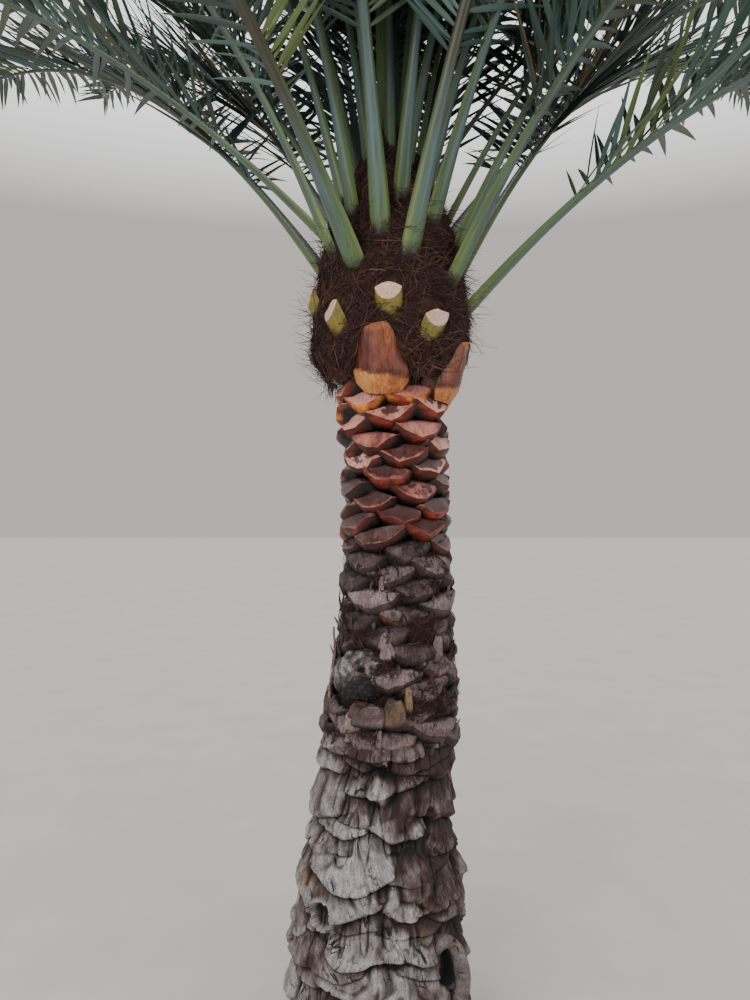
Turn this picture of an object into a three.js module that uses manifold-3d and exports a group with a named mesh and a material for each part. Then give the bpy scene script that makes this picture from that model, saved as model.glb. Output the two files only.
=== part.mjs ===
// A date palm tree: a stout trunk clad in pruned leaf bases, a collar of brown fibre round its
// heart, a few cut stubs, and a full crown of arching feather fronds.
// Millimetres, +Z up. The origin is the centre of the flat cut under the trunk, at ground level.
// Azimuths are in degrees from -Y, the side the tree is seen from, towards +X.

import * as THREE from "three";
import { ConvexGeometry } from "three/addons/geometries/ConvexGeometry.js";
import { mergeVertices } from "three/addons/utils/BufferGeometryUtils.js";
import Module from "manifold-3d";

const wasm = await Module();
wasm.setup();

// Leaves are numbered up the stem in the order they grew. Leaf 0 is the oldest green frond,
// lower numbers are the pruned bases down the trunk, and the highest are the unopened spears.
const DIVERGENCE = 137.5; // from each leaf to the next, round the stem
const FIRST_AZIMUTH = 88; // where leaf 0 stands
const RISE = 8.3; // height gained from each pruned base to the next
const CUT_HEIGHT = 1989; // height that the row of pruning cuts reaches at leaf 0
const OLDEST_BASE = -249;
const NEWEST_BASE = -9;
const LONG_BASES = [-8, -7, -6, -5];
const STUBS = [-4, -3, -2, -1, 1, 2, 3, 4];
const LAST_FROND = 40;
const SPEARS = [41, 42];

// The trunk, as [height, radius] over the leaf bases, and how it wanders off the upright.
const TRUNK_OUTLINE = [
  [0, 290], [120, 281], [300, 265], [520, 250], [640, 223], [880, 210], [1000, 204],
  [1120, 188], [1350, 170], [1500, 165], [1850, 168], [1930, 173],
];
const HEART_FOOT = 1700; // the heart runs down this far inside the clad stem
const HEART_OUTLINE = [
  [1930, 132], [2010, 172], [2130, 196], [2310, 172], [2470, 116], [2590, 66], [2660, 30],
];
const HEART_SIDES = 18;
const LEAN_SHIFT = 50; // the stem stands this far to +X above its foot
const LEAN_FROM = 350;
const LEAN_TO = 1300;
const RETURN_SHIFT = 16; // and comes back this far under the crown
const RETURN_FROM = 1650;
const RETURN_TO = 2050;

// Leaves that stand off the rule's azimuth by this much in the picture.
const OFF_THE_RULE = { "-6": 6, "-4": -8, "-3": -6, "-1": 7, 2: -5, 4: 9, 10: -7, 12: 3 };

// Pruned leaf bases stand out of the stem by this much at the foot of the trunk, where they are
// worn, and by this much under the crown, where they were cut last.
const WORN_RELIEF = 24;
const FRESH_RELIEF = 38;
const WORN_BELOW = 600;
const FRESH_ABOVE = 1300;
const CORE_DEPTH = 60; // from the outline in to the core that joins trunk and heart
// One pruned base, as [degrees round, height, depth under the outline] from its middle: the
// knife's lip, the top of the cut face, and the rounded back below the lip.
const LIP = [[-13, -2, 6], [1, -21, 0], [12.5, 0, 6]];
const FACE_TOP = [[-9, 24, 15], [6, 26, 16]];
const BACK = [1, -38, 13];

// The collar of fibre round the heart.
const FIBRE_OUTLINE = [
  [1940, 196], [2010, 231], [2130, 236], [2310, 207], [2470, 157],
];
const FIBRE_SIDES = 18;
const HOLE_CLEARANCE = 0.4; // round each stalk, where it comes through
const STUB_LENGTH = 46; // a cut stalk stands this far out
const STUB_INSET = 72; // and starts this far inside
const STUB_SLANT = 36; // its cut falls this much over half its width, and faces outwards
const STUB_SKEW = 0.15; // share of that by which it also falls sideways
const STUB_DROP = 62; // and it leaves the fibre this much lower than a whole frond would

// The long leaf bases that stand in the fibre.
const BASE_DROP = 45; // their feet lie this far under the row of cuts
const BASE_HEIGHT = 166;
const BASE_FOOT_RADIUS = 176; // from the stem's middle to their outer face, at foot and top
const BASE_TOP_RADIUS = 236;
const BASE_FOOT_HALF_WIDTH = 76;
const BASE_TOP_HALF_WIDTH = 34;

// The scar of an offshoot on the trunk, and the cut stump of another, hollow, at its foot.
const SCAR_AZIMUTH = -40;
const SCAR_HEIGHT = 1085;
const SCAR_RADIUS = 80;
const SCAR_PROUD = 28;
const STUMP_AZIMUTH = 49;
const STUMP_HEIGHT = 266;
const STUMP_HALF_HEIGHT = 92;
const STUMP_HALF_WIDTH = 40;
const STUMP_RIM = 17; // half the thickness of its wall
const STUMP_SUNK = 22; // its middle lies this far under the outline, and its rim leans out
const STUMP_TILT = 30;

// Fronds, from the youngest to the oldest.
const EMERGES_AT = 2150; // height where leaf 0 would leave the fibre
const EMERGES_RISE = 12.5;
const YOUNG_LEAN = 3; // degrees off the upright where it leaves the fibre
const OLD_LEAN = 34;
const YOUNG_BEND = 30; // degrees that it arches over, from its foot to its tip
const OLD_BEND = 74;
const BEND_CURVE = 1.35; // the bend comes more and more towards the tip
const YOUNG_LENGTH = 2250;
const OLD_LENGTH = 2800;
const MIDDLE_GAIN = 330; // fronds of middle age are this much longer
const STRAY_TURN = 9; // degrees that a frond heads off the azimuth of its foot
const BACK_UPRIGHT = 0.32; // share by which the fronds at the back stand more upright
// Fronds whose heading or lean is taken from the picture: [turn, lean].
const SEEN_FRONDS = {
  0: [0, 42], 5: [18, 26], 7: [-12, 33], 8: [7, 30], 9: [-10, 38], 10: [22, 17], 12: [-28, 22],
  14: [6, 36], 15: [-4, 19], 16: [4, 40], 17: [0, 44], 20: [-10, 11], 21: [2, 27], 22: [0, 32],
  23: [12, 12], 29: [3, 34], 31: [14, 14],
};

// A frond's rib, with shares of half the stalk's width at its foot.
const YOUNG_HALF_WIDTH = 17;
const OLD_HALF_WIDTH = 40;
const RIB_WIDTH = [0.62, 0.09]; // at the start of the rib and at its tip
const RIB_DEPTH = [0.66, 0.1];
const FOOT_DEPTH = 0.8;
const FLARE_FROM = -60; // the stalk widens towards its foot between these two
const FLARE_TO = 420;
const BACK_SHARE = 0.55; // width of the rib's back against its face
const FACE_SHARE = 0.4; // of the rib's depth that lies above its line
const FOOT_INSET = 95; // the stalk is built from this far inside the heart
const STALK_END = 480; // bare stalk up to here
const STALK_STEPS = 3;
const STRAY_TWIST = 28; // degrees that the blade turns on its rib by its tip

// The leaflets along it.
const LEAFLET_PAIRS = 18;
const LONGEST_LEAFLET = 470;
const FIRST_LEAFLET = 0.3; // shares of the longest, at the foot and the tip of the blade
const LAST_LEAFLET = 0.52;
const SPREAD = [62, 24]; // degrees from the rib, at the foot and the tip of the blade
const LIFTS = [9, 36]; // degrees up from the blade's plane, by turns
const SAG = 0.1; // share of its length that a leaflet's tip hangs
const LEAFLET_TRIES = [1, 0.75, 0.5, 0.3];
const LEAFLET_CLEARANCE = 1.5;

// The unopened leaves in the middle: half their width along their length, as [share, half].
const SPEAR_GIRTH = [[-0.03, 19], [0.08, 20], [0.27, 19], [0.54, 16], [0.78, 10], [1, 3]];
const SPEAR_LENGTHS = [1500, 1220];
const SPEAR_SIDES = 5;

const GAP = 0.3; // between pieces that touch

const DEG = Math.PI / 180;
const mix = (a, b, t) => a + (b - a) * t;
const clamp01 = (t) => Math.min(1, Math.max(0, t));
const smooth = (from, to, x) => {
  const t = clamp01((x - from) / (to - from));
  return t * t * (3 - 2 * t);
};

// A repeatable number from 0 to 1 for leaf n and its feature k.
function chance(n, k) {
  const x = Math.sin(n * 12.9898 + k * 78.233) * 43758.5453;
  return x - Math.floor(x);
}

const jitter = (n, k, size) => (chance(n, k) * 2 - 1) * size;

function alongOutline(outline, z) {
  if (z <= outline[0][0]) return outline[0][1];
  for (let i = 1; i < outline.length; i++) {
    const [z0, r0] = outline[i - 1];
    const [z1, r1] = outline[i];
    if (z <= z1) return mix(r0, r1, (z - z0) / (z1 - z0));
  }
  return outline.at(-1)[1];
}

const stemShift = (z) =>
  LEAN_SHIFT * smooth(LEAN_FROM, LEAN_TO, z) - RETURN_SHIFT * smooth(RETURN_FROM, RETURN_TO, z);

// The point at a height, azimuth and radius round the stem.
function aroundStem(azimuth, z, r) {
  const a = azimuth * DEG;
  return new THREE.Vector3(stemShift(z) + r * Math.sin(a), -r * Math.cos(a), z);
}

const wrap = (degrees) => degrees - 360 * Math.round(degrees / 360);
const leafAzimuth = (n) => wrap(FIRST_AZIMUTH + DIVERGENCE * n + (OFF_THE_RULE[n] ?? 0));

// Solids

function solidOf(geometry) {
  const bare = geometry.clone();
  bare.deleteAttribute("normal");
  bare.deleteAttribute("uv");
  const merged = mergeVertices(bare, 1e-4);
  return new wasm.Manifold(
    new wasm.Mesh({
      numProp: 3,
      vertProperties: merged.attributes.position.array,
      triVerts: new Uint32Array(merged.index.array),
    }),
  );
}

function geometryOf(solid) {
  const mesh = solid.getMesh();
  const geometry = new THREE.BufferGeometry();
  geometry.setAttribute("position", new THREE.BufferAttribute(mesh.vertProperties.slice(), 3));
  geometry.setIndex(new THREE.BufferAttribute(mesh.triVerts.slice(), 1));
  geometry.computeVertexNormals();
  return geometry;
}

// A closed body from triangles of points, turned outwards.
function solidFromFaces(points, faces) {
  const geometry = new THREE.BufferGeometry().setFromPoints(points);
  geometry.setIndex(faces);
  const solid = solidOf(geometry);
  if (solid.volume() > 0) return solid;
  geometry.setIndex(faces.map((_, i) => faces[i - (i % 3) + [0, 2, 1][i % 3]]));
  return solidOf(geometry);
}

// A closed body through rings that have the same number of points, with a fan at each end.
function loft(rings) {
  const sides = rings[0].length;
  const faces = [];
  for (let i = 0; i + 1 < rings.length; i++) {
    for (let j = 0; j < sides; j++) {
      const a = i * sides + j;
      const b = i * sides + ((j + 1) % sides);
      faces.push(a, b, b + sides, a, b + sides, a + sides);
    }
  }
  const last = (rings.length - 1) * sides;
  for (let j = 1; j + 1 < sides; j++) {
    faces.push(0, j + 1, j, last, last + j, last + j + 1);
  }
  return solidFromFaces(rings.flat(), faces);
}

const hull = (points) => solidOf(new ConvexGeometry(points));

function largestBody(solid) {
  return solid.decompose().reduce((a, b) => (b.volume() > a.volume() ? b : a));
}

function ringAt(z, radius, sides) {
  return Array.from({ length: sides }, (_, j) => aroundStem((360 * j) / sides, z, radius));
}

// The heart under the crown, grown by a gap where something has to clear it.
function heartSolid(grow = 0) {
  const neck = [HEART_FOOT, alongOutline(TRUNK_OUTLINE, HEART_FOOT) - CORE_DEPTH];
  return loft([neck, ...HEART_OUTLINE].map(([z, r]) => ringAt(z, r + grow, HEART_SIDES)));
}

// The stem clad in pruned leaf bases. Each base holds a six-sided cell among its neighbours,
// five, eight and thirteen leaves older and younger, with grooves along the cells' edges.
function cladStem(grow = 0, lift = 0) {
  const points = [];
  const faces = [];
  const index = new Map();
  const place = (key, azimuth, z, depth) => {
    if (!index.has(key)) {
      index.set(key, points.length);
      const r = alongOutline(TRUNK_OUTLINE, z) - depth + grow;
      points.push(aroundStem(azimuth, z + lift, r));
    }
    return index.get(key);
  };
  const corner = (n, a, b) => {
    const turn = (wrap(a * DIVERGENCE) + wrap(b * DIVERGENCE)) / 3;
    const z = CUT_HEIGHT + RISE * (n + (a + b) / 3);
    const relief = mix(WORN_RELIEF, FRESH_RELIEF, smooth(WORN_BELOW, FRESH_ABOVE, z));
    return place(`${n}/${a}`, leafAzimuth(n) + turn, z, relief + jitter(n, a, 4));
  };
  for (let n = OLDEST_BASE; n <= NEWEST_BASE; n++) {
    const z = CUT_HEIGHT + RISE * n + jitter(n, 1, 6);
    const flat = mix(WORN_RELIEF / FRESH_RELIEF, 1, smooth(WORN_BELOW, FRESH_ABOVE, z));
    const proud = jitter(n, 2, 7);
    const slope = jitter(n, 5, 0.4);
    const at = (key, [turn, rise, depth]) =>
      place(`${n}${key}`, leafAzimuth(n) + turn, z + rise + slope * turn, depth * flat + proud);
    const [p, q, r] = LIP.map((point, i) => at(`lip${i}`, point));
    const [f, g] = FACE_TOP.map((point, i) => at(`face${i}`, point));
    const back = at("back", BACK);
    const right = corner(n - 5, 5, 13);
    const upperRight = corner(n, 8, 13);
    const top = corner(n, 5, 13);
    const left = corner(n - 8, 8, 13);
    const lowerLeft = corner(n - 13, 5, 13);
    const bottom = corner(n - 13, 8, 13);
    faces.push(r, right, upperRight, r, upperRight, g, g, upperRight, top, g, top, f);
    faces.push(f, top, left, f, left, p, f, p, q, f, q, g, g, q, r);
    faces.push(p, left, lowerLeft, p, lowerLeft, back, p, back, q, q, back, r);
    faces.push(back, lowerLeft, bottom, back, bottom, right, back, right, r);
  }
  closeEnds(points, faces);
  return solidFromFaces(points, faces);
}

// Closes the ragged rims at the two ends of a sleeve with fans to the middle of the stem.
function closeEnds(points, faces) {
  const rim = new Map();
  for (let i = 0; i < faces.length; i++) {
    const a = faces[i];
    const b = faces[i % 3 === 2 ? i - 2 : i + 1];
    if (!rim.delete(`${b},${a}`)) rim.set(`${a},${b}`, [a, b]);
  }
  const middle = (points[0].z + points.at(-1).z) / 2;
  for (const upper of [false, true]) {
    const edges = [...rim.values()].filter(([a]) => points[a].z > middle === upper);
    const z = edges.reduce((sum, [a]) => sum + points[a].z, 0) / edges.length;
    points.push(aroundStem(0, z, 0));
    for (const [a, b] of edges) faces.push(b, a, points.length - 1);
  }
}

// The round, charred scar where an offshoot was cut from the side of the trunk.
function offshootScar() {
  const r = alongOutline(TRUNK_OUTLINE, SCAR_HEIGHT);
  const ball = new THREE.IcosahedronGeometry(SCAR_RADIUS, 1);
  ball.scale(1, 0.9, 1.15);
  ball.rotateZ(SCAR_AZIMUTH * DEG);
  const at = aroundStem(SCAR_AZIMUTH, SCAR_HEIGHT, r - SCAR_RADIUS + SCAR_PROUD);
  return solidOf(ball.translate(at.x, at.y, at.z));
}

// The hollow stump of an old offshoot: a thick oval rim against the foot of the trunk.
function hollowStump() {
  const steps = 14;
  const sides = 6;
  const points = [];
  const faces = [];
  for (let i = 0; i < steps; i++) {
    const a = (2 * Math.PI * i) / steps;
    const next = ((i + 1) % steps) * sides;
    for (let j = 0; j < sides; j++) {
      const b = (2 * Math.PI * j) / sides;
      const wall = STUMP_RIM * Math.cos(b);
      const across = (STUMP_HALF_WIDTH + wall) * Math.cos(a);
      const z = STUMP_HEIGHT + (STUMP_HALF_HEIGHT + wall) * Math.sin(a);
      const outward = STUMP_TILT * Math.cos(a) + 1.5 * STUMP_RIM * Math.sin(b) - STUMP_SUNK;
      const r = alongOutline(TRUNK_OUTLINE, z) + outward;
      points.push(aroundStem(STUMP_AZIMUTH + across / r / DEG, z, r));
      const here = i * sides + j;
      const side = (j + 1) % sides;
      faces.push(here, next + j, next + side, here, next + side, i * sides + side);
    }
  }
  return solidFromFaces(points, faces);
}

function trunkSolid() {
  const ground = solidOf(new THREE.BoxGeometry(2000, 2000, 1000).translate(0, 0, -500));
  const whole = wasm.Manifold.union([cladStem(), heartSolid(), offshootScar(), hollowStump()]);
  return largestBody(whole.subtract(ground));
}

// Fronds

// What one frond is like, from its number alone.
function frondTraits(n) {
  const age = 1 - n / LAST_FROND;
  const azimuth = leafAzimuth(n);
  const seen = SEEN_FRONDS[n];
  const upright = 1 - clamp01(-Math.cos(azimuth * DEG)) ** 2 * BACK_UPRIGHT;
  const middleAge = 4 * age * (1 - age);
  const [turn, lean] = seen ?? [
    jitter(n, 11, STRAY_TURN),
    mix(YOUNG_LEAN, OLD_LEAN, age ** 0.9) * upright + jitter(n, 12, 1.5),
  ];
  return {
    azimuth,
    heading: azimuth + turn,
    lean,
    bend: mix(YOUNG_BEND, OLD_BEND, age ** 0.7) * upright + jitter(n, 13, 4),
    length: mix(YOUNG_LENGTH, OLD_LENGTH, age) + MIDDLE_GAIN * middleAge + jitter(n, 14, 90),
    twist: jitter(n, 15, STRAY_TWIST),
    halfWidth: mix(YOUNG_HALF_WIDTH, OLD_HALF_WIDTH, age ** 1.1),
    height: EMERGES_AT + EMERGES_RISE * n - (STUBS.includes(n) ? STUB_DROP : 0),
  };
}

// How far from the stem's middle a frond leaves the fibre, or the heart above the fibre.
function emergesFrom(height) {
  if (height < FIBRE_OUTLINE.at(-1)[0]) return alongOutline(FIBRE_OUTLINE, height) - 12;
  return alongOutline(HEART_OUTLINE, height) + 4;
}

// The rib's line: points, and the directions along it, across it and up out of its face.
function ribFrames(traits, stations) {
  const h = traits.heading * DEG;
  const outward = new THREE.Vector3(Math.sin(h), -Math.cos(h), 0);
  const up = new THREE.Vector3(0, 0, 1);
  const across = new THREE.Vector3().crossVectors(up, outward);
  const bentAt = (s) => traits.bend * Math.max(0, s / traits.length) ** BEND_CURVE;
  const leanAt = (s) => (traits.lean + bentAt(s)) * DEG;
  const directionAt = (s) =>
    outward.clone().multiplyScalar(Math.sin(leanAt(s))).addScaledVector(up, Math.cos(leanAt(s)));
  const point = aroundStem(traits.azimuth, traits.height, emergesFrom(traits.height));
  point.addScaledVector(directionAt(0), stations[0]);
  return stations.map((s, i) => {
    if (i > 0) point.addScaledVector(directionAt((s + stations[i - 1]) / 2), s - stations[i - 1]);
    const along = directionAt(s);
    const turn = traits.twist * DEG * smooth(STALK_END, traits.length, s);
    const level = new THREE.Vector3().crossVectors(along, across);
    const side = across.clone().multiplyScalar(Math.cos(turn)).addScaledVector(level, Math.sin(turn));
    const face = new THREE.Vector3().crossVectors(along, side);
    return { s, point: point.clone(), along, side, face };
  });
}

// Half the rib's width and its depth at a distance from where it leaves the fibre.
function ribSize(traits, s) {
  const t = clamp01(s / traits.length);
  const flare = 1 - smooth(FLARE_FROM, FLARE_TO, s);
  const halfWidth = traits.halfWidth * mix(mix(...RIB_WIDTH, t ** 0.8), 1, flare);
  const depth = traits.halfWidth * mix(mix(...RIB_DEPTH, t), FOOT_DEPTH, flare);
  return { halfWidth, depth };
}

// The rib's section: a broad flat face, two sides that carry leaflets, and a narrower back.
function ribRing(traits, frame, grow = 0) {
  const { halfWidth, depth } = ribSize(traits, frame.s);
  const { point, side, face: up } = frame;
  const at = (x, y) => point.clone().addScaledVector(side, x).addScaledVector(up, y);
  const wide = halfWidth + grow;
  const narrow = BACK_SHARE * halfWidth + grow;
  const face = FACE_SHARE * depth + grow;
  const back = (FACE_SHARE - 1) * depth - grow;
  return [at(-wide, face), at(wide, face), at(narrow, back), at(-narrow, back)];
}

function ribStations(traits) {
  const stalk = Array.from({ length: STALK_STEPS }, (_, i) =>
    mix(-FOOT_INSET, STALK_END, (i / STALK_STEPS) ** 1.3),
  );
  const blade = Array.from({ length: LEAFLET_PAIRS + 1 }, (_, i) =>
    mix(STALK_END, traits.length, i / LEAFLET_PAIRS),
  );
  return [...stalk, ...blade];
}

// Where a leaflet's tip lies: short spines at the foot of the blade, long leaflets in the
// middle, shorter ones that point forward at its end, set by turns steeper and flatter.
function leafletTip(traits, frame, n, i, side, scale) {
  const t = (i + 0.5) / LEAFLET_PAIRS;
  const growing = mix(FIRST_LEAFLET, 1, smooth(-0.08, 0.16, t));
  const shrinking = mix(1, LAST_LEAFLET, smooth(0.55, 1, t));
  const uneven = 1 + jitter(n, 31 + 2 * i + side, 0.08);
  const length = LONGEST_LEAFLET * growing * shrinking * uneven * scale;
  const spread = (mix(...SPREAD, t) + jitter(n, 71 + i, 5)) * DEG;
  const lift = LIFTS[(i + (side > 0 ? 1 : 0)) % 2] * DEG;
  const tip = frame.point.clone().addScaledVector(frame.along, length * Math.cos(spread));
  tip.addScaledVector(frame.side, side * length * Math.sin(spread) * Math.cos(lift));
  tip.addScaledVector(frame.face, length * Math.sin(spread) * Math.sin(lift));
  tip.z -= SAG * length;
  return tip;
}

const midFrame = (a, b) => ({ ...a, point: a.point.clone().lerp(b.point, 0.5) });

// Joins a rib and its leaflets into one closed blade. tips[i] holds the tip of the leaflet
// on each side of the rib between stations i and i + 1, or nothing.
function bladeSolid(rings, endPoint, tips) {
  const points = rings.flat();
  const sides = rings[0].length;
  const faces = [];
  const quad = (a, b, c, d) => faces.push(a, b, c, a, c, d);
  const spike = (corners, tip) => {
    points.push(tip);
    corners.forEach((a, i) => faces.push(a, corners[(i + 1) % 4], points.length - 1));
  };
  for (let i = 0; i + 1 < rings.length; i++) {
    for (let j = 0; j < sides; j++) {
      const a = i * sides + j;
      const b = i * sides + ((j + 1) % sides);
      const corners = [a, b, b + sides, a + sides];
      const tip = j === 1 ? tips[i]?.right : j === sides - 1 ? tips[i]?.left : undefined;
      if (tip) spike(corners, tip);
      else quad(...corners);
    }
  }
  const last = (rings.length - 1) * sides;
  points.push(endPoint);
  for (let j = 0; j < sides; j++) faces.push(last + j, last + ((j + 1) % sides), points.length - 1);
  for (let j = 1; j + 1 < sides; j++) faces.push(0, j + 1, j);
  return solidFromFaces(points, faces);
}

// One leaflet alone, to test its way: a wedge from the rib's side to its tip.
const leafletWedge = (ringA, ringB, side, tip) => {
  const [p, q] = side > 0 ? [1, 2] : [0, 3];
  return hull([ringA[p], ringA[q], ringB[p], ringB[q], tip]);
};

function planFrond(n) {
  const traits = frondTraits(n);
  const frames = ribFrames(traits, ribStations(traits));
  const rings = frames.map((frame) => ribRing(traits, frame));
  return { n, traits, frames, rings, tips: [], rib: loft(rings) };
}

// Gives a frond its leaflets, each as long as it can be without touching another frond.
function growLeaflets(frond, others) {
  const grown = [];
  for (let i = 0; i < LEAFLET_PAIRS; i++) {
    const station = STALK_STEPS + i;
    const [a, b] = [frond.frames[station], frond.frames[station + 1]];
    const pair = {};
    for (const side of [-1, 1]) {
      for (const scale of LEAFLET_TRIES) {
        const tip = leafletTip(frond.traits, midFrame(a, b), frond.n, i, side, scale);
        const wedge = leafletWedge(frond.rings[station], frond.rings[station + 1], side, tip);
        if (others.some((other) => touches(wedge, other))) continue;
        pair[side > 0 ? "right" : "left"] = tip;
        grown.push(wedge);
        break;
      }
    }
    frond.tips[station] = pair;
  }
  return grown;
}

function touches(a, b) {
  const p = a.boundingBox();
  const q = b.boundingBox();
  const near = [0, 1, 2].every(
    (k) => p.min[k] - LEAFLET_CLEARANCE < q.max[k] && q.min[k] - LEAFLET_CLEARANCE < p.max[k],
  );
  return near && a.minGap(b, LEAFLET_CLEARANCE) < LEAFLET_CLEARANCE;
}

function frondSolid(frond) {
  const end = frond.frames.at(-1);
  const tip = end.point.clone().addScaledVector(end.along, LONGEST_LEAFLET * LAST_LEAFLET);
  return bladeSolid(frond.rings, tip, frond.tips);
}

// A frond's stalk alone, cut off on a slant a little way out of the fibre.
function stubSolid(n, grow = 0) {
  const traits = frondTraits(n);
  const frames = ribFrames(traits, [-STUB_INSET - 3 * grow, STUB_LENGTH + 3 * grow]);
  const rings = frames.map((frame) => ribRing(traits, frame, grow));
  const end = frames.at(-1);
  const slope = STUB_SLANT / ribSize(traits, end.s).halfWidth;
  for (const point of rings.at(-1)) {
    const offset = point.clone().sub(end.point);
    const height = offset.dot(end.face) + STUB_SKEW * offset.dot(end.side);
    point.addScaledVector(end.along, slope * height);
  }
  return loft(rings);
}

// The way that a frond's stalk takes through the fibre.
function stalkHole(traits) {
  const [foot, middle, end] = ribStations(traits);
  const frames = ribFrames(traits, [foot - 3 * HOLE_CLEARANCE, middle, end]);
  return hull(frames.flatMap((frame) => ribRing(traits, frame, HOLE_CLEARANCE)));
}

// A long leaf base left standing in the fibre: broad at its foot, narrow at its cut top.
function longBase(n, grow = 0) {
  const azimuth = leafAzimuth(n);
  const foot = CUT_HEIGHT + RISE * n - BASE_DROP;
  const top = foot + BASE_HEIGHT - jitter(n, 7, 12);
  const low = BASE_FOOT_RADIUS;
  const high = BASE_TOP_RADIUS;
  const wide = BASE_FOOT_HALF_WIDTH + grow;
  const narrow = BASE_TOP_HALF_WIDTH + grow;
  const at = (across, z, r) => aroundStem(azimuth + across / r / DEG, z, r);
  const pair = (across, z, r) => [at(-across, z, r), at(across, z, r)];
  return hull([
    at(0, foot - grow, low + grow),
    ...pair(0.8 * wide, foot + 20 - grow, low - 6),
    ...pair(wide, foot + 56, low + 4),
    ...pair(0.58 * wide, foot + 42, low + 24 + grow),
    ...pair(narrow, top + grow, high - 6 + grow),
    at(0, top - 30, high + 10 + grow),
    ...pair(0.9 * narrow, top + grow, high - 40),
    ...pair(0.8 * wide, foot + 30, low - 60),
    at(0, top - 60, low - 40),
  ]);
}

// The unopened leaves at the very middle: slim closed blades that stand straight up.
function spearSolid(n) {
  const place = n - SPEARS[0];
  const length = SPEAR_LENGTHS[place];
  const traits = { ...frondTraits(n), lean: 2 + 3 * place, bend: 5, length, twist: 0 };
  const frames = ribFrames(traits, SPEAR_GIRTH.map(([share]) => share * length));
  const rings = frames.map(({ point, side, face }, i) =>
    Array.from({ length: SPEAR_SIDES }, (_, j) => {
      const a = (2 * Math.PI * j) / SPEAR_SIDES;
      const half = SPEAR_GIRTH[i][1];
      const across = point.clone().addScaledVector(side, half * Math.cos(a));
      return across.addScaledVector(face, 0.7 * half * Math.sin(a));
    }),
  );
  return loft(rings);
}

// The collar of fibre: a thick sleeve round the heart, with a hole for all that comes through.
function fibreSolid(cuts) {
  const sleeve = loft(FIBRE_OUTLINE.map(([z, r]) => ringAt(z, r, FIBRE_SIDES)));
  return largestBody(sleeve.subtract(wasm.Manifold.union(cuts)));
}

// Materials, by what each piece is made of.
const FINISH = {
  bark: { color: 0x6e5c50, roughness: 0.92 },
  fibre: { color: 0x4a3327, roughness: 0.95 },
  leaf_base: { color: 0xa85f32, roughness: 0.7 },
  stub: { color: 0xcdbb8c, roughness: 0.6 },
  frond: { color: 0x4f6a55, roughness: 0.55 },
  spear: { color: 0x7d9a6a, roughness: 0.5 },
};

function piece(name, solid, finish) {
  const material = new THREE.MeshStandardMaterial({ ...FINISH[finish], metalness: 0 });
  const mesh = new THREE.Mesh(geometryOf(solid), material);
  mesh.name = name;
  return mesh;
}

const palm = new THREE.Group();
const clearOfHeart = heartSolid(GAP);
const clearOfStem = cladStem(6 * GAP).add(cladStem(4 * GAP, 4 * GAP));
const inside = clearOfHeart.add(clearOfStem);
palm.add(piece("trunk", trunkSolid(), "bark"));

const holes = STUBS.map((n) => stubSolid(n, HOLE_CLEARANCE));
const clearOfStubs = wasm.Manifold.union(holes);
LONG_BASES.forEach((n, i) => {
  const base = longBase(n).subtract(inside).subtract(clearOfStubs);
  palm.add(piece(`long_leaf_base_${i + 1}`, largestBody(base), "leaf_base"));
  holes.push(longBase(n, HOLE_CLEARANCE));
});
STUBS.forEach((n, i) => {
  palm.add(piece(`cut_stub_${i + 1}`, largestBody(stubSolid(n).subtract(clearOfHeart)), "stub"));
});

const fronds = [];
for (let n = 0; n <= LAST_FROND; n++) {
  if (!STUBS.includes(n)) fronds.push(planFrond(n));
}
const spears = SPEARS.map(spearSolid);
const taken = [];
for (const frond of fronds) {
  const ribs = fronds.filter((other) => other !== frond).map((other) => other.rib);
  const others = [...ribs, ...spears, ...taken];
  taken.push(...growLeaflets(frond, others));
}
for (const frond of fronds) {
  const name = `frond_${String(frond.n).padStart(2, "0")}`;
  palm.add(piece(name, largestBody(frondSolid(frond).subtract(clearOfHeart)), "frond"));
  const foot = frond.traits.height - FOOT_INSET;
  if (foot < FIBRE_OUTLINE.at(-1)[0]) holes.push(stalkHole(frond.traits));
}
spears.forEach((solid, i) => {
  palm.add(piece(`spear_${i + 1}`, largestBody(solid.subtract(clearOfHeart)), "spear"));
});
palm.add(piece("crown_fibre", fibreSolid([inside, ...holes]), "fibre"));

export default palm;
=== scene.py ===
import itertools
import math

import bpy
import numpy as np
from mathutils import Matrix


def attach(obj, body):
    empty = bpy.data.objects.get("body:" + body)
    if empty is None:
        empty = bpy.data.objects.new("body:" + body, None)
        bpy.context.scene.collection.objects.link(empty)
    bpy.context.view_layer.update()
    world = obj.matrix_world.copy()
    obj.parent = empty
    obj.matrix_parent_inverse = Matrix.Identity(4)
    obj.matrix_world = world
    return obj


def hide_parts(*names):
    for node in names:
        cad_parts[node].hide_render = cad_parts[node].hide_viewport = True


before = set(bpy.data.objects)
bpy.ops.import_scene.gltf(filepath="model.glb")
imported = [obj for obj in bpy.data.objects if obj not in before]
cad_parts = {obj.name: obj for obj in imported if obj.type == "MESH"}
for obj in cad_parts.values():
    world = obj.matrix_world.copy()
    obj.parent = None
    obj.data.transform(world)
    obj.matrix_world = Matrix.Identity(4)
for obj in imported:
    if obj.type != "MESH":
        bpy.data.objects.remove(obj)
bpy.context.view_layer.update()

# The looks of a date palm tree. Lengths are in millimetres until a mesh is made, and azimuths
# are in degrees from -Y, the side the tree is seen from, towards +X.
MM = 0.001

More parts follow.
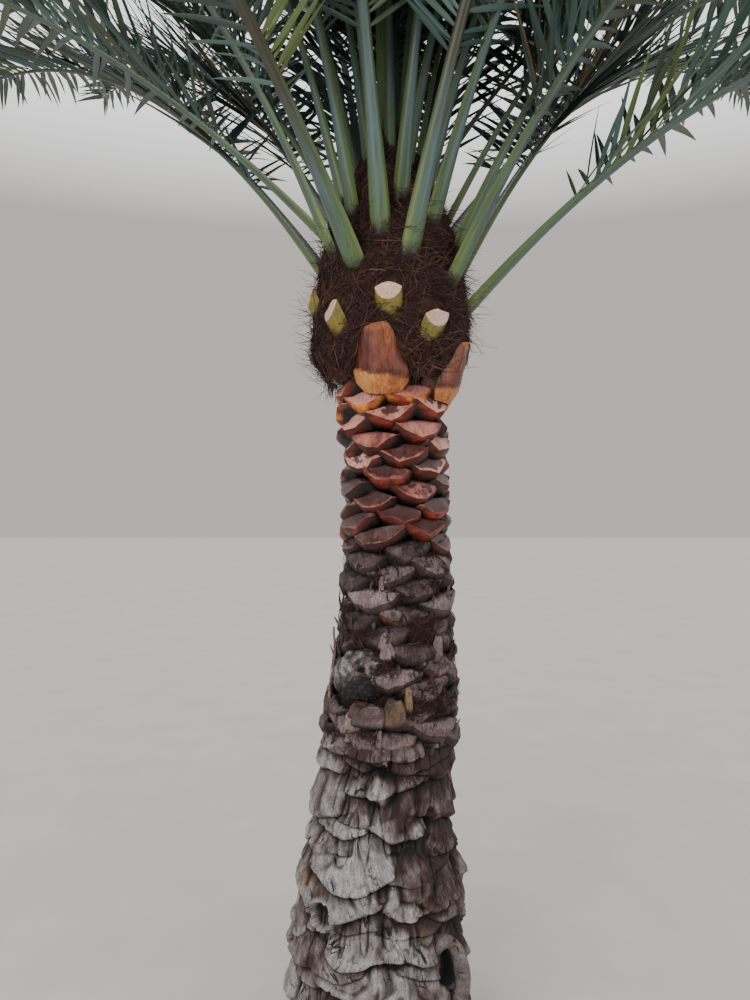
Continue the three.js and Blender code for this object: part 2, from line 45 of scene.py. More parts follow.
# The rule of the solids, repeated here: leaves are numbered up the stem as they grew.
DIVERGENCE = 137.5
FIRST_AZIMUTH = 88
RISE = 8.3
CUT_HEIGHT = 1989
OLDEST_BASE = -249
NEWEST_BASE = -9
LONG_BASES = [-8, -7, -6, -5]
STUBS = [-4, -3, -2, -1, 1, 2, 3, 4]
LAST_FROND = 40
FRONDS = [n for n in range(LAST_FROND + 1) if n not in STUBS]
SPEARS = [41, 42]
OFF_THE_RULE = {-6: 6, -4: -8, -3: -6, -1: 7, 2: -5, 4: 9, 10: -7, 12: 3}
TRUNK_OUTLINE = [
    (0, 290), (120, 281), (300, 265), (520, 250), (640, 223), (880, 210), (1000, 204),
    (1120, 188), (1350, 170), (1500, 165), (1850, 168), (1930, 173),
]
HEART_OUTLINE = [
    (1930, 132), (2010, 172), (2130, 196), (2310, 172), (2470, 116), (2590, 66), (2660, 30),
]
FIBRE_OUTLINE = [(1940, 196), (2010, 231), (2130, 236), (2310, 207), (2470, 157)]
LEAN_SHIFT, LEAN_FROM, LEAN_TO = 50, 350, 1300
RETURN_SHIFT, RETURN_FROM, RETURN_TO = 16, 1650, 2050

EMERGES_AT = 2150
EMERGES_RISE = 12.5
YOUNG_LEAN, OLD_LEAN = 3, 34
YOUNG_BEND, OLD_BEND = 30, 74
BEND_CURVE = 1.35
YOUNG_LENGTH, OLD_LENGTH = 2250, 2800
MIDDLE_GAIN = 330
STRAY_TURN = 9
BACK_UPRIGHT = 0.32
SEEN_FRONDS = {
    0: (0, 42), 5: (18, 26), 7: (-12, 33), 8: (7, 30), 9: (-10, 38), 10: (22, 17), 12: (-28, 22),
    14: (6, 36), 15: (-4, 19), 16: (4, 40), 17: (0, 44), 20: (-10, 11), 21: (2, 27), 22: (0, 32),
    23: (12, 12), 29: (3, 34), 31: (14, 14),
}
YOUNG_HALF_WIDTH, OLD_HALF_WIDTH = 17, 40
RIB_WIDTH = (0.62, 0.09)
RIB_DEPTH = (0.66, 0.1)
FOOT_DEPTH = 0.8
FLARE_FROM, FLARE_TO = -60, 420
FOOT_INSET = 95
STALK_END = 480
STRAY_TWIST = 28
LONGEST_LEAFLET = 470
FIRST_LEAFLET, LAST_LEAFLET = 0.3, 0.52
SPREAD = (62, 24)
SAG = 0.1
STUB_DROP = 62


def mix(a, b, t):
    return a + (b - a) * t


def smooth(start, end, x):
    t = np.clip((np.asarray(x, float) - start) / (end - start), 0, 1)
    return t * t * (3 - 2 * t)


def chance(n, k):
    """A repeatable number from 0 to 1 for leaf n and its feature k."""
    x = math.sin(n * 12.9898 + k * 78.233) * 43758.5453
    return x - math.floor(x)


def jitter(n, k, size):
    return (chance(n, k) * 2 - 1) * size


def wrap(degrees):
    return (degrees + 180) % 360 - 180


def aside(azimuth, other, radius):
    """How far an azimuth lies to the side of another, in millimetres at a radius."""
    return np.radians(wrap(azimuth - other)) * radius


def outward_at(azimuth):
    """The level way out of the stem at an azimuth."""
    a = math.radians(azimuth)
    return np.array([math.sin(a), -math.cos(a), 0])


def leaf_azimuth(n):
    return wrap(FIRST_AZIMUTH + DIVERGENCE * n + OFF_THE_RULE.get(n, 0))


def along_outline(outline, z):
    heights, radii = zip(*outline)
    return np.interp(z, heights, radii)


def stem_shift(z):
    out = LEAN_SHIFT * smooth(LEAN_FROM, LEAN_TO, z)
    return out - RETURN_SHIFT * smooth(RETURN_FROM, RETURN_TO, z)


def around_stem(azimuth, z, r):
    """Points at an azimuth, height and radius round the stem's own middle."""
    a = np.radians(azimuth)
    return np.stack(np.broadcast_arrays(stem_shift(z) + r * np.sin(a), -r * np.cos(a), z), -1)


def from_local(azimuth, x, y, z):
    """Points given across, out of and up the stem, where the outward way has this azimuth."""
    a = math.radians(azimuth)
    shift = stem_shift(z)
    return np.stack([
        shift + x * math.cos(a) + y * math.sin(a),
        x * math.sin(a) - y * math.cos(a),
        np.broadcast_to(z, np.shape(x)),
    ], -1)


def lumps(points, size, seed=0):
    """Smooth noise from -1 to 1 at each point, whose lumps are about size across."""
    p = np.asarray(points, float) / size + 31.7 * seed
    cell = np.floor(p)
    f = p - cell
    f = f * f * (3 - 2 * f)
    total = 0
    for corner in itertools.product((0, 1), repeat=3):
        hashed = np.sin((cell + corner) @ (127.1, 311.7, 74.7)) * 43758.5453
        weight = np.prod(np.where(corner, f, 1 - f), axis=-1)
        total = total + weight * (hashed - np.floor(hashed))
    return total * 2 - 1


def cobbles(points, size, seed=0):
    """From 0 between rounded lumps to 1 on top of them, each lump about size across."""
    p = np.asarray(points, float) / size + 17.3 * seed
    cell = np.floor(p)
    nearest = np.full(p.shape[:-1], 9.0)
    for step in itertools.product((-1, 0, 1), repeat=3):
        corner = cell + step
        offsets = np.stack([
            np.modf(np.abs(np.sin(corner @ key)) * 43758.5453)[0]
            for key in ((127.1, 311.7, 74.7), (269.5, 183.3, 246.1), (113.5, 271.9, 124.6))
        ], -1)
        nearest = np.minimum(nearest, ((corner + offsets - p) ** 2).sum(-1))
    return np.clip(1 - 1.6 * nearest, 0, 1)


# Camera: level at eye height, 2.3 m from the trunk.
CAMERA_AT = (-12, -2300, 1590)
CAMERA_LENS = 27.6
camera = bpy.data.objects.new("camera", bpy.data.cameras.new("camera"))
camera.data.sensor_width = 36
camera.data.lens = CAMERA_LENS
camera.location = [v * MM for v in CAMERA_AT]
camera.rotation_euler = (math.radians(90), 0, 0)
bpy.context.scene.collection.objects.link(camera)
bpy.context.scene.camera = camera


# Materials

def linear(code):
    """The linear colour of an sRGB hex code."""
    parts = [int(code[i:i + 2], 16) / 255 for i in (1, 3, 5)]
    return [c / 12.92 if c <= 0.04045 else ((c + 0.055) / 1.055) ** 2.4 for c in parts] + [1.0]


def add(material, kind, values=None, links=None, ramp=None, **settings):
    """Adds a node with its settings, its constant values, its links and its ramp's colours."""
    tree = material.node_tree
    made = tree.nodes.new(kind)
    for setting, value in settings.items():
        setattr(made, setting, value)
    for socket, value in (values or {}).items():
        made.inputs[socket].default_value = value
    for socket, source in (links or {}).items():
        tree.links.new(source, made.inputs[socket])
    if ramp:
        stops = made.color_ramp.elements
        while len(stops) < len(ramp):
            stops.new(0.5)
        for stop, (place, code) in zip(stops, ramp):
            stop.position = place
            stop.color = linear(code)
    return made


def new_material(name, **shader):
    """A material with nothing but its shader, whose constant values are set on it."""
    material = bpy.data.materials.new(name)
    material.use_nodes = True
    principled = material.node_tree.nodes["Principled BSDF"]
    for socket, value in shader.items():
        principled.inputs[socket.replace("_", " ")].default_value = value
    return material


def finish_with(material, colour=None, bump=None, strength=0.5, distance=1.0):
    """Links the shader's colour and its relief, whose depth is in millimetres."""
    tree = material.node_tree
    shader = tree.nodes["Principled BSDF"]
    if colour is not None:
        tree.links.new(colour, shader.inputs["Base Color"])
    if bump is not None:
        relief = add(
            material, "ShaderNodeBump",
            values={"Strength": strength, "Distance": distance * MM}, links={"Height": bump},
        )
        tree.links.new(relief.outputs["Normal"], shader.inputs["Normal"])
    return material


def stretched(material, stretch, along=None):
    """A point's place on the object, drawn out by stretch, or its place in the ways across, along
    and out of each leaf base that the mark along holds."""
    if along:
        place = add(material, "ShaderNodeAttribute", attribute_name=along).outputs["Vector"]
    else:
        place = add(material, "ShaderNodeTexCoord").outputs["Object"]
    return add(
        material, "ShaderNodeMapping",
        values={"Scale": [1 / s for s in stretch]}, links={"Vector": place},
    ).outputs["Vector"]


def grain_noise(material, size, stretch=(1, 1, 1), detail=4, rough=0.6, along=None):
    """Noise with features of size millimetres, drawn out by stretch."""
    return add(
        material, "ShaderNodeTexNoise",
        values={"Scale": 1 / (size * MM), "Detail": detail, "Roughness": rough},
        links={"Vector": stretched(material, stretch, along)},
    ).outputs["Fac"]


def colours(material, stops, value, mark=None, share=1.0):
    """Colours dealt out along a value, or along a mark whose edges a share of the value moves."""
    if mark:
        named = add(material, "ShaderNodeAttribute", attribute_name=mark)
        value = add(
            material, "ShaderNodeMath", operation="MULTIPLY_ADD", values={1: share},
            links={0: value, 2: named.outputs["Fac"]},
        ).outputs[0]
    return add(
        material, "ShaderNodeValToRGB", links={"Fac": value}, ramp=stops,
    ).outputs["Color"]


def shaded(material, colour, *shades):
    """A colour darkened by each of the shades, given as colours with how strongly they act."""
    for shade, strength in shades:
        colour = add(
            material, "ShaderNodeMix", data_type="RGBA", blend_type="MULTIPLY",
            values={"Factor": strength}, links={6: colour, 7: shade},
        ).outputs[2]
    return colour


def crack_lines(material, size, stretch, dark, width=0.035):
    """Thin dark cracks round cells of size millimetres along the grain, on some stretches only."""
    place = stretched(material, stretch, along="grain")
    wander = add(
        material, "ShaderNodeTexNoise", values={"Scale": 1.6 / (size * MM), "Detail": 3},
        links={"Vector": place},
    ).outputs["Color"]
    bent = add(
        material, "ShaderNodeVectorMath", operation="MULTIPLY_ADD",
        values={1: [0.9 * size * MM] * 3}, links={0: wander, 2: place},
    ).outputs["Vector"]
    cells = add(
        material, "ShaderNodeTexVoronoi", feature="DISTANCE_TO_EDGE",
        values={"Scale": 1 / (size * MM)}, links={"Vector": bent},
    ).outputs["Distance"]
    fading = grain_noise(material, 2.4 * size, detail=2)
    nearness = add(
        material, "ShaderNodeMath", operation="MULTIPLY_ADD", values={1: 0.5},
        links={0: fading, 2: cells},
    ).outputs[0]
    return colours(material, [(0.205, dark), (0.205 + width, "#FFFFFF")], nearness)


def painted_crevice_shade(material, dark):
    """Painted shade that darkens the crevices, where the mark says how deep a point lies."""
    deep = add(material, "ShaderNodeAttribute", attribute_name="deep").outputs["Fac"]
    return colours(material, [(0.08, "#FFFFFF"), (0.85, dark)], deep)


def fresh_cut_wood():
    """Palm wood sliced with a knife this season: moist pink flesh that dries to mauve patches."""
    m = new_material("fresh_cut_palm_wood", Roughness=0.42)
    flesh = colours(
        m, [(0.45, "#DBA193"), (0.8, "#B87669"), (1.15, "#7E423A")],
        grain_noise(m, 40, detail=2), "age",
    )
    dry = colours(
        m, [(0.5, "#5E4848"), (0.85, "#5C342F"), (1.2, "#431C17")],
        grain_noise(m, 22, detail=3), "age",
    )
    edge = colours(
        m, [(0.94, "#000000"), (1.0, "#FFFFFF")], grain_noise(m, 26, detail=2), "dried",
    )
    bundles = grain_noise(m, 3.5, (1, 5, 1), 3, along="grain")
    streaks = colours(m, [(0.3, "#A2847E"), (0.6, "#FFFFFF")], bundles)
    cracks = crack_lines(m, 30, (1, 2, 1), "#2A100C", 0.03)
    cut = add(m, "ShaderNodeMix", data_type="RGBA", links={0: edge, 6: flesh, 7: dry}).outputs[2]
    # The last shade is painted shade that darkens the crevices between the bases.
    colour = shaded(m, cut, (streaks, 0.7), (cracks, 0.7), (painted_crevice_shade(m, "#1E0D0A"), 1.0))
    return finish_with(m, colour, bundles, 0.4, 0.9)


def fresh_rind():
    """The leaf base's smooth rind under the cut, stained by sap from orange to dark red-brown."""
    m = new_material("sap_stained_rind", Roughness=0.36, Specular_IOR_Level=0.4)
    stain = colours(
        m, [(0.36, "#2C0A08"), (0.58, "#50150D"), (0.8, "#8E3413"), (1.0, "#D98A38")],
        grain_noise(m, 38, (1, 1, 0.6)), "tone",
    )
    # Painted shade darkens the rind down into the gap below each base.
    colour = shaded(m, stain, (painted_crevice_shade(m, "#0C0403"), 1.0))
    return finish_with(m, colour, grain_noise(m, 6, (1, 3, 1), along="grain"), 0.4, 1.2)


def old_wood(name, tones, crack, crevice_shade, roughness, contrast=1.0):
    """Leaf bases that have dried hard: finely fibrous along the leaf, and cracked by the sun."""
    m = new_material(name, Roughness=roughness)
    base = colours(m, tones, grain_noise(m, 44, detail=6), "tone")
    fibres = grain_noise(m, 2.6, (1, 9, 1), 5, along="grain")
    streaks = colours(m, [(0.34, "#8C7F7B"), (0.6, "#FFFFFF")], fibres)
    specks = colours(m, [(0.4, "#93857F"), (0.56, "#FFFFFF")], grain_noise(m, 5))
    cracks = crack_lines(m, 34, (1, 2.2, 1), crack)
    checks = crack_lines(m, 16, (1, 1.8, 1), crack, 0.06)
    # The last shade is painted shade that darkens the crevices.
    colour = shaded(
        m, base, (streaks, 0.8 * contrast), (specks, 0.5 * contrast), (cracks, 0.95),
        (checks, 0.7), (painted_crevice_shade(m, crevice_shade), 1.0),
    )
    relief = add(
        m, "ShaderNodeMath", operation="MULTIPLY_ADD", values={1: 2.0},
        links={0: cracks, 2: fibres},
    )
    return finish_with(m, colour, relief.outputs[0], 0.9, 2.4)


def bleached_wood():
    """The oldest leaf bases, worn to bare wood: brown in the shade, and turned pale grey by sun
    and rain, with yellow where it has broken open."""
    tones = [(0.28, "#3A2724"), (0.48, "#5E4D4A"), (0.68, "#7F7877"), (0.98, "#ADAAAB")]
    # 1A1311 is the colour of the painted shade in the crevices.
    m = old_wood("bleached_palm_wood", tones, "#1C1412", "#1A1311", 0.88, 0.85)
    grey = m.node_tree.nodes["Principled BSDF"].inputs["Base Color"].links[0].from_socket
    yellow = colours(
        m, [(0.75, "#FFFFFF"), (1.3, "#DCC4A0")],
        grain_noise(m, 20, (1, 4, 1), along="grain"), "yellow",
    )
    return finish_with(m, shaded(m, grey, (yellow, 1.0)))


def torn_fibre(name, dark, light, size=7):
    """Matted fibre between the bases: dark, coarse and dull, with no gloss of its own."""
    m = new_material(name, Roughness=0.97)
    colour = colours(m, [(0.35, dark), (0.7, light)], grain_noise(m, size, (1, 1, 3), 6))
    return finish_with(m, colour, grain_noise(m, size, (1, 1, 4), 6), 1.0, 5)


def plain_fibre(name, code):
    """Coarse palm fibre of one tone, each strand round, dry and slightly hairy."""
    m = new_material(name, Base_Color=linear(code), Roughness=0.8)
    return finish_with(m, bump=grain_noise(m, 4), strength=0.4, distance=0.6)


def charred_wood():
    """An offshoot's scar burnt black below, ash grey above, and pitted all over."""
    m = new_material("charred_offshoot_scar", Roughness=0.82)
    burnt = colours(
        m, [(0.38, "#0B0A0A"), (0.6, "#262021"), (0.8, "#575052"), (1.02, "#938B8A")],
        grain_noise(m, 14, detail=6), "tone",
    )
    redder = colours(m, [(0.75, "#FFFFFF"), (1.2, "#E0B8AC")], grain_noise(m, 9), "red")
    # Painted shade darkens the hollows between the cobbles and inside the crater.
    colour = shaded(m, burnt, (redder, 1.0), (painted_crevice_shade(m, "#050404"), 1.0))
    return finish_with(m, colour, grain_noise(m, 4, detail=5), 0.9, 2.5)


def long_base_rind():
    """A living leaf base with its outer skin trimmed: red-brown, faintly streaked down its length,
    and yellow-orange where a knife took the skin off."""
    m = new_material("trimmed_leaf_base_rind", Roughness=0.42)
    skin = colours(
        m,
        [(0.1, "#3A130C"), (0.3, "#5C281C"), (0.44, "#763E2E"), (0.62, "#8E4F2C"),
         (0.78, "#B87038"), (0.95, "#D2954F")],
        grain_noise(m, 14, (1, 1, 9)), "tone", 0.7,
    )
    fine = colours(m, [(0.36, "#A88C80"), (0.58, "#FFFFFF")], grain_noise(m, 3, (1, 1, 12)))
    return finish_with(m, shaded(m, skin, (fine, 0.8)), grain_noise(m, 6, (1, 1, 10)), 0.5, 1.0)


def stub_cut():
    """A leaf stalk cut this week: wet cream flesh with the ends of its fibres as fine dots."""
    m = new_material("fresh_stalk_cut", Roughness=0.4)
    colour = colours(
        m, [(0.3, "#AA8470"), (0.5, "#C6A592"), (0.7, "#D6BCAC")], grain_noise(m, 5, detail=3),
    )
    return finish_with(m, colour, grain_noise(m, 3), 0.3, 0.8)


def stub_rind():
    """The green rind of a cut stalk, turning yellow with a tan edge where it dries."""
    m = new_material("cut_stalk_rind", Roughness=0.42)
    colour = colours(
        m, [(0.3, "#4C4A1C"), (0.46, "#726E2E"), (0.6, "#8C7434"), (0.74, "#5C3818")],
        grain_noise(m, 22, (1, 1, 2)),
    )
    return finish_with(m, colour, grain_noise(m, 6, (1, 1, 4)), 0.3, 0.8)


def waxy_stalk():
    """A leaf stalk: green rind under a blue-grey bloom of wax, rubbed off along its edges and
    tanned brown on the stalks that stand in the sun."""
    m = new_material("waxy_leaf_stalk", Roughness=0.44)
    place = add(m, "ShaderNodeAttribute", attribute_name="place").outputs["Fac"]
    wax = colours(m, [
        (0.0, "#536A42"), (0.03, "#4E6654"), (0.08, "#4E6464"), (0.5, "#4E6266"), (1.0, "#445A4A"),
    ], place)
    rind = colours(
        m, [(0.0, "#5F7434"), (0.06, "#4A6238"), (0.3, "#415A46"), (1.0, "#384E3C")], place,
    )
    bare = colours(
        m, [(0.72, "#000000"), (1.2, "#FFFFFF")],
        grain_noise(m, 36, (1, 7, 1), along="grain"), "margin",
    )
    sun = colours(
        m, [(0.5, "#FFFFFF"), (1.35, "#B8926C")],
        grain_noise(m, 60, (1, 6, 1), along="grain"), "tanned",
    )
    scratches = grain_noise(m, 4, (1, 30, 1), 5, along="grain")
    streaks = colours(m, [(0.3, "#8E8E86"), (0.55, "#FFFFFF")], scratches)
    skin = add(m, "ShaderNodeMix", data_type="RGBA", links={0: bare, 6: wax, 7: rind}).outputs[2]
    # The last shade is painted shade on each stalk's foot where it goes into the fibre.
    colour = shaded(m, skin, (sun, 1.0), (streaks, 0.45), (painted_crevice_shade(m, "#1E1A10"), 1.0))
    return finish_with(m, colour, scratches, 0.25, 0.6)


def leaflet_skin(name, code):
    """A palm leaflet: tough, waxy and finely ribbed. Each spray has one plain tone."""
    m = new_material(name, Base_Color=linear(code), Roughness=0.46)
    return finish_with(m, bump=grain_noise(m, 8), strength=0.2, distance=0.5)


def studio_floor():
    """A pale matt floor with the faint mottling of a cast slab."""
    m = new_material("pale_matt_floor", Roughness=0.9)
    mottling = grain_noise(m, 400, detail=3)
    return finish_with(m, colours(m, [(0.3, "#BCB5B0"), (0.7, "#C4BDB8")], mottling))


# Meshes

# How far the wood grain of one leaf or shard lies from the next one's, so that none look alike.
GRAIN_APART, SHARD_GRAIN_APART = 97.0, 131.0


class Heap:
    """The points, faces, finishes and marks of a piece, which may be joined from many things."""

    def __init__(self):
        self.points, self.faces, self.dealt = [], [], []
        self.marks = {}
        self.count = 0

    def add(self, points, faces, finish=0, **marks):
        points = np.asarray(points).reshape(-1, 3)
        self.points.append(points)
        if isinstance(faces, np.ndarray):
            self.faces.extend((faces + self.count).tolist())
        else:
            self.faces.extend([corner + self.count for corner in face] for face in faces)
        self.dealt.extend(np.broadcast_to(finish, len(faces)).tolist())
        for mark, values in marks.items():
            shape = (len(points), 3) if mark == "grain" else (len(points),)
            values = np.reshape(values, (-1, *shape[1:]))
            self.marks.setdefault(mark, []).append(np.broadcast_to(values, shape))
        self.count += len(points)
        return self

    def make_piece(self, name, finishes, slot, nodes, crease):
        """Makes the piece, which rides on the tree's one body and is sharp past its crease."""
        mesh = bpy.data.meshes.new(name)
        mesh.from_pydata((np.concatenate(self.points) * MM).tolist(), [], self.faces)
        for finish in finishes:
            mesh.materials.append(finish)
        mesh.polygons.foreach_set("material_index", np.array(self.dealt, np.int32))
        for mark, parts in self.marks.items():
            values = np.concatenate(parts).astype(np.float32)
            if mark == "grain":
                layer = mesh.attributes.new(mark, "FLOAT_VECTOR", "POINT")
                layer.data.foreach_set("vector", values.ravel() * MM)
            else:
                layer = mesh.attributes.new(mark, "FLOAT", "POINT")
                layer.data.foreach_set("value", values)
        mesh.shade_smooth()
        mesh.set_sharp_from_angle(angle=math.radians(crease))
        made = bpy.data.objects.new(name, mesh)
        bpy.context.scene.collection.objects.link(made)
        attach(made, "root")
        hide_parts(*nodes)


def joined(add_one, numbers):
    """A heap of the like things that add_one makes, one for each leaf number."""
    heap = Heap()
    for n in numbers:
        add_one(heap, n)
    return heap


def grid_faces(rows, columns, closed=False):
    """Quads over points that lie in rows, with the last column joined to the first if closed."""
    row = np.arange(rows - 1)[:, None] * columns
    column = np.arange(columns if closed else columns - 1)
    after = (column + 1) % columns
    corners = [row + column, row + after, row + columns + after, row + columns + column]
    return np.stack(corners, -1).reshape(-1, 4)


def repeated(faces, count, points_each):
    """The same faces over each of a count of like things, whose points follow one another."""
    starts = np.arange(count)[:, None, None] * points_each
    return (faces + starts).reshape(-1, faces.shape[1])


def unit(v):
    return v / np.linalg.norm(v, axis=-1, keepdims=True)


def ribbons(paths, facing, half_width, taper=0.35):
    """Flat strands along paths, an array of strands by steps, each with its flat side facing.
    Gives their points, their faces and how many faces each has."""
    count, steps, _ = paths.shape
    along = np.gradient(paths, axis=1)
    side = unit(np.cross(along, facing[:, None, :]) + 1e-9)
    u = np.linspace(0, 1, steps)
    half = half_width[:, None] * (1 - (1 - taper) * np.abs(2 * u - 1) ** 3)
    points = np.stack([paths - side * half[..., None], paths + side * half[..., None]], 2)
    strip = grid_faces(steps, 2)
    return points, repeated(strip, count, steps * 2), len(strip)


def cords(paths, radius, sides=3):
    """Round strands along paths, with few sides, that taper to their ends."""
    count, steps, _ = paths.shape
    along = unit(np.gradient(paths, axis=1))
    across = unit(np.cross(along, (0.31, 0.52, 0.79)))[:, :, None]
    other = np.cross(along[:, :, None], across)
    u = np.linspace(0, 1, steps)
    girth = radius[:, None] * (1 - 0.7 * np.abs(2 * u - 1) ** 3)
    angles = (np.arange(sides) * 2 * np.pi / sides)[:, None]
    ring = across * np.cos(angles) + other * np.sin(angles)
    points = paths[:, :, None] + ring * girth[..., None, None]
    tube = grid_faces(steps, sides, closed=True)
    return points, repeated(tube, count, steps * sides), len(tube)


# The pruned leaf bases that clad the trunk

FRESH_FROM = 1455  # bases above this height were cut this season
WORN_BELOW = 880  # bases below this height have worn into one another
BASE_HALF_TURN = 21.5  # degrees from a base's middle to its corner
LIP_CORNERS = np.array([-1.1, -1, -0.58, -0.12, 0.36, 0.74, 1, 1.1])  # in shares of half its width
TUCKED_IN = 34  # how far a base's outermost corners turn back between its neighbours
FACE_TOP, LIP_DROP, RIND_DROP = 22, -18, -52  # heights from the middle of a base
RIND_UNDERCUT = 38
SCAR_AZIMUTH, SCAR_HEIGHT, SCAR_RADIUS, SCAR_PROUD = -40, 1085, 80, 28
# What stands in the place of bases, each as azimuth, height, radius of the trunk and reach: the
# charred scar, and a base that was chopped off lately.
TAKEN_PLACES = [(SCAR_AZIMUTH, SCAR_HEIGHT - 8, 195, 66), (-13, 1018, 200, 44)]


def uneven(n, k, size):
    """What the knife varies at the four inner corners of a base's lip."""
    return np.array([0, 0, *[jitter(n, k + corner, size) for corner in range(4)], 0, 0])


def pruned_base(n):
    """One pruned base as a grid: its cut face from the back down to the lip, then its rind.
    Gives its points, its rows on the face, how far in from the edge a point of the face lies, the
    marks that its finishes read, its height, and how fresh it is."""
    z = CUT_HEIGHT + RISE * n + jitter(n, 1, 6)
    fresh = float(smooth(FRESH_FROM - 14, FRESH_FROM + 14, z + jitter(n, 20, 22)))
    radius = along_outline(TRUNK_OUTLINE, z) - jitter(n, 2, 7)
    half = radius * math.sin(math.radians(BASE_HALF_TURN)) * (1.15 + jitter(n, 50, 0.1))
    # Facets left by the knife: the lip is a chain of straight cuts across the base.
    corners = LIP_CORNERS + uneven(n, 30, 0.15)
    spans = 3 if fresh > 0.5 else 5
    across = np.concatenate([
        np.linspace(a, b, spans, endpoint=False) for a, b in zip(corners, corners[1:])
    ] + [[corners[-1]]])
    roundness = half ** 2 / (2 * radius * 0.78)
    fall = roundness * corners ** 2 + uneven(n, 34, 6)
    fall[[0, -1]] += TUCKED_IN
    slant = mix(0.5, 0.62, fresh) + jitter(n, 49, 0.12)
    lip_rise = mix(30, roundness / 0.62, fresh) * corners ** 2 + uneven(n, 38, 7)
    lip = np.interp(across, corners, LIP_DROP + lip_rise)
    out = radius - np.interp(across, corners, fall)
    top = FACE_TOP + 8 * (1 - across ** 2) + jitter(n, 42, 7)
    top = np.maximum(top, lip + 3)
    flat_back = np.minimum(radius - slant * (top + FACE_TOP), out - 3)
    back = mix(out - 20, flat_back, mix(0.6, 1, fresh))
    bottom = np.minimum(RIND_DROP + 34 * across ** 2, lip - 6)
    face_rows, rind_rows = (6, 6) if fresh > 0.5 else (11, 7)
    v = np.linspace(0, 1, face_rows)[:, None]
    w = np.linspace(0, 1, rind_rows + 1)[1:, None]
    rise = np.concatenate([mix(top, lip, v), mix(lip, bottom, w)])
    bulge = mix(-5, 1.5, fresh) * np.sin(np.pi * v)
    reach = np.concatenate([mix(back, out, v) - bulge, out - RIND_UNDERCUT * w ** 1.7])
    x = np.broadcast_to(across * half, rise.shape)
    slope = (jitter(n, 5, 0.4) + jitter(n, 45, 0.4)) * BASE_HALF_TURN * across
    points = from_local(leaf_azimuth(n), x, reach, z + rise + slope)
    edge = np.abs(across) ** 4
    # deep is painted shade: at the back of the cut face under the base above, at the tucked
    # corners, and down the rind into the gap.
    deep = np.concatenate([
        smooth(0.24, 0, v) * 0.8 + 0.3 * edge, smooth(0.2, 1, w) + 0.5 * edge,
    ])
    inset = np.clip(np.minimum(rise - lip, (1 - np.abs(across)) * half * 0.6), 0, 60)
    grain = np.stack([x * (1 + 0.006 * rise), rise, np.full(rise.shape, GRAIN_APART * n)], -1)
    marks = {"deep": np.clip(deep, 0, 1), "grain": grain}
    return points, face_rows, inset, marks, z, fresh


def roughen(points, azimuth, fresh):
    """Pushes a base's points in and out: knife ripples when fresh, splits and ridges when old."""
    ripple = 0.9 * lumps(points, 22, 1)
    ridges = 1.6 * lumps(points * (1, 1, 0.2), 8, 2) + 3.6 * lumps(points, 24, 3)
    split = lumps(points * (1, 1, 0.45), 24, 4)
    ridges -= 5 * np.clip(1 - np.abs(split) / 0.1, 0, 1)
    moved = points + outward_at(azimuth) * mix(ridges, ripple, fresh)[..., None]
    moved[..., 2] += (1 - fresh) * 3 * lumps(points, 12, 5)
    return moved


def is_missing(n):
    """Whether something else stands where this base would."""
    height = CUT_HEIGHT + RISE * n
    return any(
        math.hypot(aside(leaf_azimuth(n), turn, radius), height - middle) < reach
        for turn, middle, radius, reach in TAKEN_PLACES
    )


def cladding():
    """The pruned bases that stand apart, in two pieces: those cut this season and older ones."""
    fresh_bases, dry_bases = Heap(), Heap()
    for n in range(OLDEST_BASE, NEWEST_BASE + 1):
        if CUT_HEIGHT + RISE * n < WORN_BELOW or is_missing(n):
            continue
        points, face_rows, inset, marks, z, fresh = pruned_base(n)
        points = roughen(points, leaf_azimuth(n), fresh)
        rows, columns = inset.shape
        faces = grid_faces(rows, columns)
        rind = (faces.max(1) >= face_rows * columns).astype(int)
        if fresh > 0.5:
            newest = smooth(FRESH_FROM + 80, 1880, z)
            dry = mix(0.85, 0.15, newest) + jitter(n, 43, 0.38)
            rim = mix(6, 15, newest)
            fresh_bases.add(
                points, faces, rind,
                tone=mix(0.0, 0.34, smooth(1790, 1900, z)) + jitter(n, 44, 0.2),
                dried=dry * np.clip(inset / rim, 0, 1) + 0.1 * dry,
                age=mix(0.52, -0.05, newest) + jitter(n, 46, 0.26), **marks,
            )
        else:
            finish = rind * (2 if chance(n, 47) > 0.86 else 1)
            dry_bases.add(points, faces, finish, tone=jitter(n, 44, 0.2), **marks)
    return fresh_bases, dry_bases


# What years have left in the worn foot of the trunk, each as azimuth, height, radius, rise, and
# how pale and how yellow it is: knobs of wood, and pits where they have rotted out.
KNOBS = [
    (-6, 796, 42, 24, 0.34, 0.0), (-2, 846, 30, -16, -0.5, 0.0), (25, 676, 27, 12, 0.36, 0.0),
    (26, 551, 54, 22, -0.2, 0.1), (20, 474, 25, 10, 0.36, 0.0), (11, 384, 42, 10, 0.34, 0.3),
    (-48, 610, 44, 12, 0.15, 0.0), (78, 520, 50, 16, 0.0, 0.2), (120, 640, 40, 16, 0.15, 0.1),
    (165, 420, 50, 16, 0.2, 0.2), (-120, 560, 46, 16, 0.15, 0.0), (-95, 300, 52, 14, 0.2, 0.1),
    (-160, 250, 44, 14, 0.15, 0.3), (95, 210, 50, 12, 0.1, 0.1), (39, 709, 26, -22, -0.7, 0.0),
    (-140, 690, 28, -20, -0.6, 0.0), (140, 300, 30, -18, -0.5, 0.0),
]
RING_SCAR = (-39.5, 449, 39)  # where an offshoot was cut flush: azimuth, height and radius
STUMP_AZIMUTH, STUMP_HEIGHT = 49, 266
STUMP_HALF_HEIGHT, STUMP_HALF_WIDTH, STUMP_RIM = 92, 40, 17
STUMP_SUNK, STUMP_TILT = 22, 30
FOOT_TOP, FOOT_ROWS, FOOT_COLUMNS = 960, 250, 396
KEPT_SHARE = 0.74  # of the foot's bases, the others have rotted away
GAP_DEPTH = 34
SUNNY_HEIGHT, SUNNY_SLOPE = 735, 3.5  # the sun has bleached the foot up to here at the front
BURIED_TOP = 885  # from here up the foot draws in under the bases that stand apart


